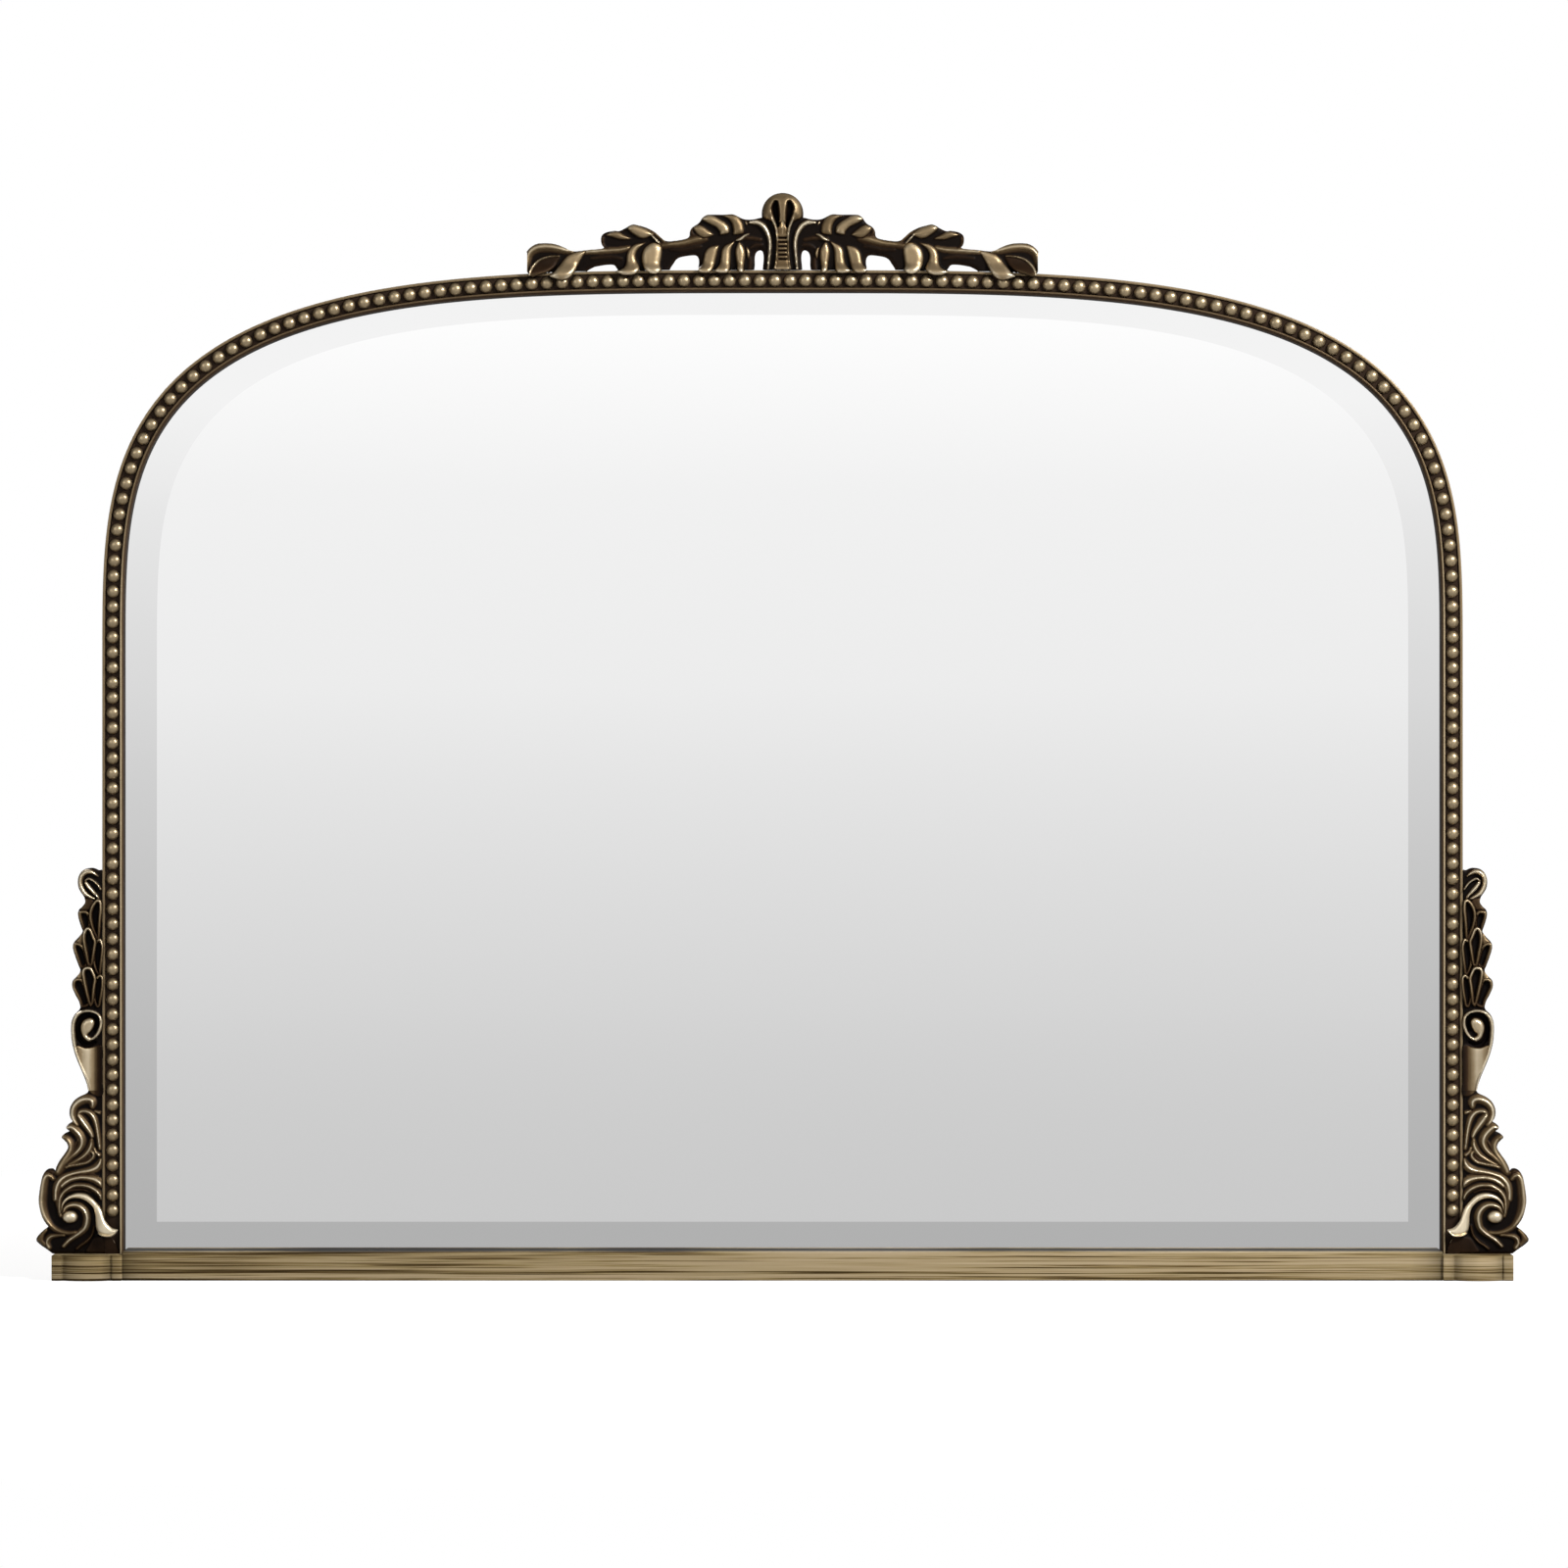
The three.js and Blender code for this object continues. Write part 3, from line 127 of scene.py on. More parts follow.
def streakMaterial(name, look):
    # Sawn and waxed gilt wood: long thin dark streaks lie along the rail over the gold.
    material, tree, shader = startMaterial(name)
    place = addNode(tree, "TexCoord").outputs["Object"]
    streaks = []
    for size, length, shift in look["streaks"]:
        stretched = addNode(tree, "Mapping", {"Scale": (1000 / length, 1000 / look["depth"], 1000 / size),
                                              "Location": (shift, shift, shift)}, {"Vector": place})
        streaks.append(addNode(tree, "TexNoise", {"Scale": 1, "Detail": 3, "Roughness": 0.55},
                               {"Vector": stretched.outputs[0]}).outputs["Fac"])
    both = addNode(tree, "Math", {"operation": "MULTIPLY"}, {0: streaks[0], 1: streaks[1]})
    grain = addNode(tree, "ValToRGB", links={"Fac": both.outputs[0]}, stops=look["colours"])
    # The tone attribute scales the grain colour: painted shadow and shade where it is below 1, painted
    # highlight above 1.
    tone = addNode(tree, "Attribute", {"attribute_name": "tone"}).outputs["Fac"]
    colour = addNode(tree, "VectorMath", {"operation": "SCALE"}, {0: grain.outputs["Color"], "Scale": tone})
    rough = addNode(tree, "MapRange", {"From Min": 0.1, "From Max": 0.4, "To Min": look["waxRoughness"],
                                       "To Max": look["roughness"]}, {"Value": both.outputs[0]})
    bump = addNode(tree, "Bump", {"Strength": look["bump"], "Distance": 0.0003}, {"Height": both.outputs[0]})
    metal = addNode(tree, "Math", {"operation": "MULTIPLY", 1: look["metallic"]}, {0: tone})
    for socket, source in (("Base Color", colour.outputs["Vector"]), ("Roughness", rough.outputs[0]),
                           ("Metallic", metal.outputs[0]), ("Normal", bump.outputs[0])):
        tree.links.new(source, shader.inputs[socket])
    shader.inputs["Specular IOR Level"].default_value = look["waxGloss"]
    return material


waxedSill = streakMaterial("gilt and waxed wood, sawn along the grain", {
    "streaks": ((0.95, 150, 3.1), (2.8, 560, 8.7)), "depth": 160, "waxRoughness": 0.6, "roughness": 0.45,
    "metallic": 0.3, "bump": 0.35, "waxGloss": 0.05,
    "colours": ((0.15, "#2d2210"), (0.2, "#53432a"), (0.235, "#806f4c"), (0.27, "#8f7f61"), (0.4, "#9b8b70")),
})


def speckleMaterial(name, look):
    # Plain stock in two tones: the speckle is the fibre, flock or zinc flower of the real one, at its own size.
    material, tree, shader = startMaterial(name)
    place = addNode(tree, "TexCoord").outputs["Object"]
    stretched = addNode(tree, "Mapping", {"Scale": look.get("stretch", (1, 1, 1))}, {"Vector": place})
    speckle = addNode(tree, "TexNoise", {"Scale": 1000 / look["size"], "Detail": look.get("detail", 5),
                                         "Roughness": 0.65}, {"Vector": stretched.outputs[0]})
    colour = addNode(tree, "ValToRGB", links={"Fac": speckle.outputs["Fac"]},
                     stops=((0.3, look["dark"]), (0.7, look["light"])))
    bump = addNode(tree, "Bump", {"Strength": look.get("bump", 0.3), "Distance": 0.0003},
                   {"Height": speckle.outputs["Fac"]})
    tree.links.new(colour.outputs["Color"], shader.inputs["Base Color"])
    tree.links.new(bump.outputs[0], shader.inputs["Normal"])
    shader.inputs["Metallic"].default_value = look.get("metallic", 0)
    shader.inputs["Roughness"].default_value = look["roughness"]
    return material


fibreboard = speckleMaterial("pressed fibreboard", {
    "size": 2.5, "dark": "#6f5538", "light": "#9a7d58", "roughness": 0.85, "bump": 0.4})
felt = speckleMaterial("needled wool felt", {
    "size": 1.2, "dark": "#3c3c39", "light": "#575750", "roughness": 0.95, "bump": 0.7})
beech = speckleMaterial("planed beech", {
    "size": 3, "stretch": (0.1, 1, 1), "dark": "#b58f5f", "light": "#d6b98c", "roughness": 0.6})
zincSteel = speckleMaterial("zinc plated steel, pressed", {
    "size": 5, "dark": "#9da2a6", "light": "#c9cdd0", "metallic": 0.95, "roughness": 0.34, "bump": 0.06})
drawnBrass = speckleMaterial("drawn brass wire", {
    "size": 2, "dark": "#a8873f", "light": "#cfae66", "metallic": 0.95, "roughness": 0.3, "bump": 0.08})
rubber = speckleMaterial("moulded rubber", {
    "size": 1.6, "dark": "#1f1f20", "light": "#343436", "roughness": 0.8, "bump": 0.3})


def mirrorMaterial():
    # Silvered float glass: the bevel's tone is painted reflection shade, darker than the flat, and it says how
    # much at each height.
    material, tree, shader = startMaterial("silvered float glass, polished bevel")
    tone = addNode(tree, "Attribute", {"attribute_name": "tone"}).outputs["Fac"]
    place = addNode(tree, "TexCoord").outputs["Object"]
    roll = addNode(tree, "TexNoise", {"Scale": 7, "Detail": 1}, {"Vector": place})
    colour = addNode(tree, "ValToRGB", links={"Fac": tone}, stops=((0, "#d7d7d7"), (1, "#fdfdfd")))
    bump = addNode(tree, "Bump", {"Strength": 0.02, "Distance": 0.0001}, {"Height": roll.outputs["Fac"]})
    tree.links.new(colour.outputs["Color"], shader.inputs["Base Color"])
    tree.links.new(bump.outputs[0], shader.inputs["Normal"])
    shader.inputs["Metallic"].default_value = 1
    shader.inputs["Roughness"].default_value = 0.015
    return material


silvered = mirrorMaterial()
print("materials made")


def active(mode="OBJECT"):
    bpy.ops.object.mode_set(mode=mode)


def chooseOnly(*pieces):
    bpy.ops.object.select_all(action="DESELECT")
    for piece in pieces:
        piece.select_set(True)
    if pieces:
        bpy.context.view_layer.objects.active = pieces[0]


def rename(piece, name):
    piece.name = piece.data.name = name
    return piece


def startPiece(name):
    return rename(bpy.context.object, name)


def boxOf(node):
    return np.array(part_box(node)) / mm


def points(piece):
    co = np.empty(len(piece.data.vertices) * 3)
    piece.data.vertices.foreach_get("co", co)
    return co.reshape(-1, 3)


def movePoints(piece, co):
    piece.data.vertices.foreach_set("co", np.asarray(co, float).ravel())
    piece.data.update()


def chosen(piece):
    flags = np.empty(len(piece.data.vertices), bool)
    piece.data.vertices.foreach_get("select", flags)
    return flags


def choose(piece, flags):
    # With the vertices flagged here, edit mode works out the edges and faces between them.
    piece.data.vertices.foreach_set("select", flags)
    for kind in (piece.data.edges, piece.data.polygons):
        kind.foreach_set("select", np.zeros(len(kind), bool))
    active("EDIT")
    bpy.ops.mesh.select_mode(type="VERT")
    active()


def setTone(piece, values):
    layer = piece.data.attributes.get("tone") or piece.data.attributes.new("tone", "FLOAT", "POINT")
    layer.data.foreach_set("value", np.asarray(values, np.float32))


def getTone(piece):
    values = np.empty(len(piece.data.vertices), np.float32)
    piece.data.attributes["tone"].data.foreach_get("value", values)
    return values


def dress(piece, body, material, nodes, smoothAngle=35):
    # The last steps of every piece: smooth shading, its finish, and the body it rides on.
    chooseOnly(piece)
    bpy.ops.object.shade_smooth_by_angle(angle=math.radians(smoothAngle))
    piece.data.materials.clear()
    piece.data.materials.append(material)
    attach(piece, body)
    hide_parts(*nodes)


def outwards():
    active("EDIT")
    bpy.ops.mesh.select_all(action="SELECT")
    bpy.ops.mesh.normals_make_consistent(inside=False)
    active()


def skin(name, rows, tones=None, joined=False):
    # A grid whose rows are moved onto sections of [x, y, z] in mm, closed round them and capped at the ends.
    rows = np.asarray(rows, float)
    count, around = rows.shape[:2]
    steps = count if joined else count - 1
    chooseOnly()
    bpy.ops.mesh.primitive_grid_add(x_subdivisions=around, y_subdivisions=steps, size=1)
    piece = startPiece(name)
    co = points(piece)
    ring = np.rint((co[:, 0] + 0.5) * around).astype(int) % around
    row = np.rint((co[:, 1] + 0.5) * steps).astype(int) % count
    movePoints(piece, rows[row, ring] * mm)
    setTone(piece, np.ones(len(co)) if tones is None else np.asarray(tones)[ring])
    active("EDIT")
    bpy.ops.mesh.select_all(action="SELECT")
    bpy.ops.mesh.remove_doubles(threshold=1e-6)
    bpy.ops.mesh.select_all(action="DESELECT")
    bpy.ops.mesh.select_non_manifold()
    if not joined:
        bpy.ops.mesh.fill_holes(sides=0)
    active()
    outwards()
    return piece


def copyOf(piece):
    twin = piece.copy()
    twin.data = piece.data.copy()
    bpy.context.collection.objects.link(twin)
    return twin


def otherSide(piece, name):
    # A mesh of its own for the right hand side, turned the right way out again.
    twin = rename(copyOf(piece), name)
    movePoints(twin, points(twin) * (-1, 1, 1))
    chooseOnly(twin)
    outwards()
    return twin


def joinPieces(pieces, name):
    chooseOnly(*pieces)
    bpy.ops.object.join()
    return startPiece(name)


arch = {"halfWidth": 530.6, "springing": 498.9, "rise": 296.5, "power": 3.555, "stations": 240}
plinthTop = 20.5


def archLine(count, halfWidth=arch["halfWidth"], rise=arch["rise"]):
    # Places at even spacing from the right springing to the left, as x, z and the outward direction.
    power = arch["power"]
    angle = np.linspace(0, np.pi, 6001)
    reach = (np.abs(np.cos(angle)) ** power + np.abs(np.sin(angle)) ** power) ** (-1 / power)
    across, up = np.cos(angle) * reach, np.abs(np.sin(angle)) * reach
    x, z = halfWidth * across, arch["springing"] + rise * up
    out = np.stack([np.sign(across) * np.abs(across) ** (power - 1) / halfWidth, up ** (power - 1) / rise])
    out /= np.linalg.norm(out, axis=0)
    run = np.concatenate([[0], np.cumsum(np.hypot(np.diff(x), np.diff(z)))])
    places = np.asarray(count, float) * run[-1] if np.ndim(count) else np.linspace(0, run[-1], count)
    line = [np.interp(places, run, value) for value in (x, z, out[0], out[1])]
    return np.stack(line, axis=1)


def archLength():
    line = archLine(3000)
    return np.hypot(np.diff(line[:, 0]), np.diff(line[:, 1])).sum()


def roundEdges(piece, name, width, steps, fromAngle):
    bevel = piece.modifiers.new(name, "BEVEL")
    bevel.width, bevel.segments, bevel.limit_method = width * mm, steps, "ANGLE"
    bevel.angle_limit = math.radians(fromAngle)
    bpy.ops.object.modifier_apply(modifier=bevel.name)


def sweepRows(section, line):
    return [[(x + outX * out, y, z + outZ * out) for out, y in section] for x, z, outX, outZ in line]


def stileLine(side, foot=plinthTop):
    half = arch["halfWidth"]
    return [(side * half, z, side, 0) for z in (foot, arch["springing"])]


moulding = {
    "width": 17.7, "back": 15, "rebate": (6.3, 8), "filletCentre": 2.7, "filletRadius": 0.8,
    "filletFront": -3.1, "filletSteps": 6, "channel": (3.5, 15.3, 1), "shoulderFront": -1.5, "edge": 0.7,
    "round": 0.2,
    "sight": [(0, 2.4, 0.12), (0.15, 0.6, 0.2), (0.6, -1.1, 0.3), (1.4, -2.1, 0.4)],
    "headPaintedShade": 0.42, "headPaintedShadeRun": 200,
}


def mouldingSection():
    # Round the section from the glass outwards: the way out from the sight edge, y, and the tone there.
    m = moulding
    width, back, edge, bevel = m["width"], m["back"], m["edge"], m["round"]
    deep, rest = m["rebate"]
    front = m["shoulderFront"]
    inner, outer, floor = m["channel"]
    centre = m["filletFront"] + m["filletRadius"]
    section = [(0, rest, 0.05), *m["sight"]]
    for step in range(m["filletSteps"] + 1):
        angle = math.pi - math.pi * step / m["filletSteps"]
        section.append((m["filletCentre"] + m["filletRadius"] * math.cos(angle),
                        centre - m["filletRadius"] * math.sin(angle), 0.55 + 0.3 * math.sin(angle)))
    section += [(inner, floor - 0.5, 0.12), (inner + 0.5, floor, 0.12), ((inner + outer) / 2, floor, 0.36),
                (outer - 0.5, floor, 0.12), (outer, floor - 0.5, 0.1), (outer, front + edge, 0.3),
                (outer + bevel, front + bevel, 0.5), (outer + edge, front, 0.62), (width - edge, front, 0.64),
                (width - bevel, front + bevel, 0.64), (width, front + edge, 0.45), (width, back, 0.3),
                (deep, back, 0.2), (deep, rest, 0.05)]
    return [(out, y) for out, y, _ in section], [tone for _, _, tone in section]


section, sectionTones = mouldingSection()
headRail = skin("headRail", sweepRows(section, archLine(arch["stations"])), sectionTones)
places, tones = points(headRail) / mm, getTone(headRail)
fillet = places[:, 1] < moulding["shoulderFront"] - 0.3  # painted shade: the fillet beside the glass is darkened more the higher it runs up the head
high = np.clip((places[:, 2] - arch["springing"]) / moulding["headPaintedShadeRun"], 0, 1)
setTone(headRail, np.where(fillet, tones * (1 - moulding["headPaintedShade"] * high), tones))
dress(headRail, "mirror", woodGilt, ["frame_head"])
for name, side in sides:
    stile = skin(f"stile_{name}", sweepRows(section, stileLine(side)), sectionTones)
    dress(stile, "mirror", woodGilt, [f"frame_stile_{name}"])
print("moulding done")


beading = {"pitch": 12.15, "line": 9.4, "inner": 4, "outer": 14.8, "floor": 1,
           "thickness": 1, "foot": 49.2, "segments": 12, "rings": 8, "cut": 0.12,
           "groundTones": [0.17, 0.21, 0.21, 0.17],
           "profile": [[-0.12, 5.75, 0, 0], [0, 5.15, 0.5, 0.4], [0.383, 5, 1.9, 0.64], [0.707, 4.1, 3.2, 0.73],
                       [0.924, 2.3, 4.25, 0.79], [1, 0, 4.7, 0.82]]}


def makeBead():
    # A sphere cut below its widest and drawn to the bead's profile: a round dome, darker down its side to a
    # thin, nearly black foot.
    b = beading
    chooseOnly()
    bpy.ops.mesh.primitive_uv_sphere_add(segments=b["segments"], ring_count=b["rings"], radius=1,
                                         rotation=(math.pi / 2, 0, 0))
    bead = startPiece("bead")
    bpy.ops.object.transform_apply(location=True, rotation=True, scale=True)
    active("EDIT")
    bpy.ops.mesh.select_all(action="SELECT")
    bpy.ops.mesh.bisect(plane_co=(0, b["cut"], 0), plane_no=(0, 1, 0), clear_outer=True, use_fill=True)
    bpy.ops.mesh.select_all(action="SELECT")
    bpy.ops.mesh.normals_make_consistent(inside=False)
    active()
    places = points(bead)
    around = places[:, [0, 2]] / np.maximum(np.hypot(places[:, 0], places[:, 2]), 1e-6)[:, None]
    ring, radius, height, tone = np.array(b["profile"]).T
    radius, height = np.interp(-places[:, 1], ring, radius), np.interp(-places[:, 1], ring, height)
    movePoints(bead, np.column_stack([around[:, 0] * radius, -height, around[:, 1] * radius]) * mm)
    setTone(bead, np.interp(-places[:, 1], ring, tone))
    return bead


def beadRow(name, bead, line, strip):
    copies = []
    for x, z, outX, outZ in line:
        copy = copyOf(bead)
        along = beading["line"]
        movePoints(copy, points(copy) + np.array([x + outX * along, beading["floor"] - beading["thickness"],
                                                  z + outZ * along]) * mm)
        copies.append(copy)
    return joinPieces([strip, *copies], name)


bead = makeBead()
ground = [(beading["inner"], beading["floor"]), (beading["inner"], 0), (beading["outer"], 0),
          (beading["outer"], beading["floor"])]
headCount = 2 * round(archLength() / beading["pitch"] / 2)
strip = skin("beadGround", sweepRows(ground, archLine(arch["stations"])), beading["groundTones"])
row = beadRow("beads_head", bead, archLine([(i + 0.5) / headCount for i in range(headCount)]), strip)
dress(row, "mirror", beadGilt, ["bead_strip_head"], smoothAngle=50)
run = arch["springing"] - beading["foot"]
stileCount = round(run / beading["pitch"])
for name, side in sides:
    strip = skin("beadGround", sweepRows(ground, stileLine(side)), beading["groundTones"])
    places = [(side * arch["halfWidth"], arch["springing"] - (i + 0.5) * run / stileCount, side, 0)
              for i in range(stileCount)]
    row = beadRow(f"beads_{name}", bead, places, strip)
    dress(row, "mirror", beadGilt, [f"bead_strip_{name}"], smoothAngle=50)
bpy.data.objects.remove(bead)
print("beads done:", headCount + 2 * stileCount)


glass = {"front": 6.8, "edgeFront": 7.0, "thickness": 5, "overlap": 6, "bevelSide": 25.7, "bevelTop": 17.8,
         "bevelBottom": 22.8, "sill": 23, "stations": 160, "feet": 12, "base": 24, "step": 0.15, "crease": 0.01,
         "bevelShadeHeights": [40, 320, 480, 640, 800], "bevelPaintedShade": [0.19, 0.29, 0.44, 0.74, 0.7]}


def glassOutline(out, foot, halfWidth=arch["halfWidth"], rise=arch["rise"]):
    line = archLine(glass["stations"], halfWidth, rise)
    top = [(x + outX * out, z + outZ * out) for x, z, outX, outZ in line]
    right = [(halfWidth + out, z) for z in np.linspace(foot, arch["springing"], glass["feet"])[:-1]]
    left = [(-x, z) for x, z in right[::-1]]
    base = [(x, foot) for x in np.linspace(-halfWidth - out, halfWidth + out, glass["base"])[1:-1]]
    return right + top + left + base


def makeGlass():
    g = glass
    inset = (arch["halfWidth"] - g["bevelSide"], arch["rise"] - g["bevelTop"])
    foot = g["sill"] + g["bevelBottom"]
    edge = glassOutline(g["overlap"], plinthTop)
    rows = [[(x, g["front"], z) for x, z in glassOutline(0, foot, *inset)],
            [(x, g["front"] + g["crease"], z) for x, z in glassOutline(g["step"], foot - g["step"], *inset)],
            [(x, g["edgeFront"], z) for x, z in edge], [(x, g["front"] + g["thickness"], z) for x, z in edge]]
    piece = skin("mirrorGlass", rows)
    co = points(piece) / mm
    deep = np.interp(co[:, 2], g["bevelShadeHeights"], g["bevelPaintedShade"])  # painted reflection shade: the bevel is darker than the flat, the more so towards the bottom
    setTone(piece, np.where(co[:, 1] < g["front"] + g["crease"] / 2, 1, deep))
    return piece


pane = makeGlass()
dress(pane, "mirror", silvered, ["mirror_glass"], smoothAngle=1)
print("glass done")


sillRail = {"height": 23, "front": -21, "back": 24, "arris": 1.6, "shelf": 8, "halfLength": 530.6,
            "roundSteps": 6, "between": [-300, 0, 300], "endSteps": (0, 6, 14, 26, 60),
            "endPaintedShadow": [1, 1, 0.82, 0.62, 0.38], "shelfShadeFrom": (-11, -6), "darkestTone": 0.03}
plinth = {"length": 56.4, "front": -24, "back": 24, "fillet": 8, "cove": 3.5, "bow": 5, "arris": 0.7,
          "coveSteps": 6, "bowSteps": 25, "bevelSteps": 3, "bevelFrom": 60,
          "paintedShadeAt": [0, 7, 8.5, 11, 15, 28, 40, 43, 47, 49.5, 55, 56.4],
          "tones": [0.8, 0.86, 0.7, 0.74, 0.88, 1.08, 0.98, 0.78, 0.66, 0.8, 0.9, 1.2]}


def makeSill():
    s = sillRail
    centre = (s["front"] + s["arris"], s["height"] - s["arris"])
    section = [(s["back"], 0), (s["front"] + 0.5, 0), (s["front"], 0.5)]
    for step in range(s["roundSteps"] + 1):
        angle = math.pi - math.pi / 2 * step / s["roundSteps"]
        section.append((centre[0] + s["arris"] * math.cos(angle), centre[1] + s["arris"] * math.sin(angle)))
    section += [(y, s["height"]) for y in (*s["shelfShadeFrom"], s["shelf"])]
    section += [(s["shelf"], plinthTop), (s["back"], plinthTop)]
    ends = [s["halfLength"] - step for step in s["endSteps"]]
    rows = [[(x, y, z) for y, z in section] for x in [-x for x in ends] + s["between"] + ends[::-1]]
    piece = skin("sillRail", rows)
    co = points(piece) / mm
    tone = np.interp(np.abs(co[:, 0]), ends[::-1], s["endPaintedShadow"])  # painted contact shadow, darker towards the ends where the rail meets the blocks
    wax = np.interp(co[:, 1], s["shelfShadeFrom"], [1, s["darkestTone"]])  # and painted shadow on the shelf in front of the glass
    setTone(piece, np.where(co[:, 2] > s["height"] - 0.1, np.minimum(tone, wax), tone))
    return piece


def makePlinth(side):
    p = plinth
    start = p["fillet"] + p["cove"]
    half = p["length"] / 2 - start
    radius = (half ** 2 + p["bow"] ** 2) / (2 * p["bow"])
    lean = math.asin(half / radius)
    plan = [(0, p["back"]), (0, p["front"]), (p["fillet"], p["front"])]
    for step in range(1, p["coveSteps"] + 1):
        t = step / p["coveSteps"]
        plan.append((p["fillet"] * (1 - t) ** 2 + 2 * p["fillet"] * t * (1 - t) + start * t * t,
                     p["front"] + 2 * p["cove"] * t * (1 - t)))
    for step in range(1, p["bowSteps"]):
        angle = -lean + 2 * lean * step / p["bowSteps"]
        plan.append((p["length"] / 2 + radius * math.sin(angle),
                     p["front"] - p["bow"] + radius * (1 - math.cos(angle))))
    plan += [(p["length"] - x, y) for x, y in plan[2 + p["coveSteps"]:2:-1]]
    plan += [(p["length"] - p["fillet"], p["front"]), (p["length"], p["front"]), (p["length"], p["back"])]
    outer = arch["halfWidth"] + p["length"]
    rows = [[(side * (outer - x), y, z) for x, y in plan] for z in (0, plinthTop)]
    block = skin("plinthBlock", rows)
    roundEdges(block, "worn arris", p["arris"], p["bevelSteps"], p["bevelFrom"])
    across = outer - np.abs(points(block)[:, 0]) / mm
    # Painted shade and highlight across the block's face: darker coves, a lit bow and bright arrises.
    setTone(block, np.interp(across, p["paintedShadeAt"], p["tones"]))
    return block


rail = makeSill()
dress(rail, "mirror", waxedSill, ["sill_rail"])
for name, side in sides:
    block = makePlinth(side)
    dress(rename(block, f"plinthBlock_{name}"), "mirror", waxedSill, [f"plinth_block_{name}"])
print("sill and plinths done")


# The castings' relief is laid up in mm from blades, dishes and ridges, each with a height and a share of gold,
# which in places also carries painted shade.
carving = {
    "leastWidth": 0.3, "ridgeLow": 0.35, "flankFoot": 1.3, "flankRise": 0.6, "flankWider": (1.9, 0.7),
    "flankAt": [0.35, 0.65, 0.85, 1], "flankTones": [0.75, 0.6, 0.38, 0.12], "bladeFoot": 1.6, "bladeLine": 0.9,
    "tipAt": [0, 0.3, 0.75, 1], "tipTones": [0.5, 0.62, 0.84, 1], "footRise": 0.72, "darkestTone": 0.05,
    "edgeLine": 1.3, "plateFrom": 0.4, "toneSoften": 0.6, "backTone": 0.3, "thicken": 0.001, "flat": 1,
    "smoothTurns": 3, "edgeReach": 1.6, "spot": 0.06,
}


def spline(places, count=10):
    # A smooth line through the places given, with any further number interpolated along it.
    p = np.asarray(places, float)
    p = np.vstack([2 * p[0] - p[1], p, 2 * p[-1] - p[-2]])
    t = np.linspace(0, 1, count, endpoint=False)[:, None]
    line = []
    for a, b, c, d in zip(p, p[1:], p[2:], p[3:]):
        line.append(0.5 * (2 * b + (c - a) * t + (2 * a - 5 * b + 4 * c - d) * t ** 2
                           + (3 * b - a - 3 * c + d) * t ** 3))
    return np.vstack(line + [p[-2:-1]])


def closedLine(places, count=5):
    p = np.asarray(places, float)
    return spline(np.vstack([p[-2:], p, p[:2]]), count)[2 * count:-count]


def inside(x, z, outline):
    found = np.zeros(x.shape, bool)
    for (ax, az), (bx, bz) in zip(outline, np.roll(outline, -1, axis=0)):
        if az != bz:
            found ^= ((az > z) != (bz > z)) & (x < (bx - ax) * (z - az) / (bz - az) + ax)
    return found


def edgeDistance(x, z, outline):
    best = np.full(x.shape, 1e9)
    for (ax, az), (bx, bz) in zip(outline, np.roll(outline, -1, axis=0)):
        dx, dz = bx - ax, bz - az
        u = np.clip(((x - ax) * dx + (z - az) * dz) / (dx * dx + dz * dz + 1e-9), 0, 1)
        best = np.minimum(best, np.hypot(x - ax - dx * u, z - az - dz * u))
    return best


def nearTo(x, z, line, reach=0):
    low, high = line.min(axis=0) - reach, line.max(axis=0) + reach
    return (x >= low[0]) & (x <= high[0]) & (z >= low[1]) & (z <= high[1])


def depthInside(x, z, outline):
    # How far each place lies inside the outline, and 0 outside it.
    near = nearTo(x, z, outline)
    px, pz = x[near], z[near]
    depth = np.zeros(x.shape)
    depth[near] = np.where(inside(px, pz, outline), edgeDistance(px, pz, outline), 0)
    return depth


def alongStroke(x, z, places):
    # Across a stroke, from -1 at its right edge over 0 in the middle to 1 at its left, and its width there.
    line = spline(places)
    line[:, 2] = np.maximum(line[:, 2], carving["leastWidth"])
    near = nearTo(x, z, line[:, :2], line[:, 2].max() + 0.3)
    px, pz = x[near], z[near]
    share, turn, width = np.full(px.shape, 9.0), np.ones(px.shape), np.ones(px.shape)
    for (ax, az, aw), (bx, bz, bw) in zip(line, line[1:]):
        dx, dz = bx - ax, bz - az
        u = np.clip(((px - ax) * dx + (pz - az) * dz) / (dx * dx + dz * dz + 1e-9), 0, 1)
        w = aw + (bw - aw) * u
        here = np.hypot(px - ax - dx * u, pz - az - dz * u) / w
        closer = here < share
        share[closer], width[closer] = here[closer], w[closer]
        turn[closer] = np.sign(dx * (pz - az) - dz * (px - ax))[closer]
    signed, widths = np.full(x.shape, 9.0), np.full(x.shape, 1e-9)
    signed[near], widths[near] = share * turn, width / line[:, 2].max()
    return signed, widths


def lay(relief, where, height, tone):
    relief["height"][where] = np.broadcast_to(height, where.shape)[where]
    relief["tone"][where] = np.broadcast_to(tone, where.shape)[where]
    relief["laid"] |= where


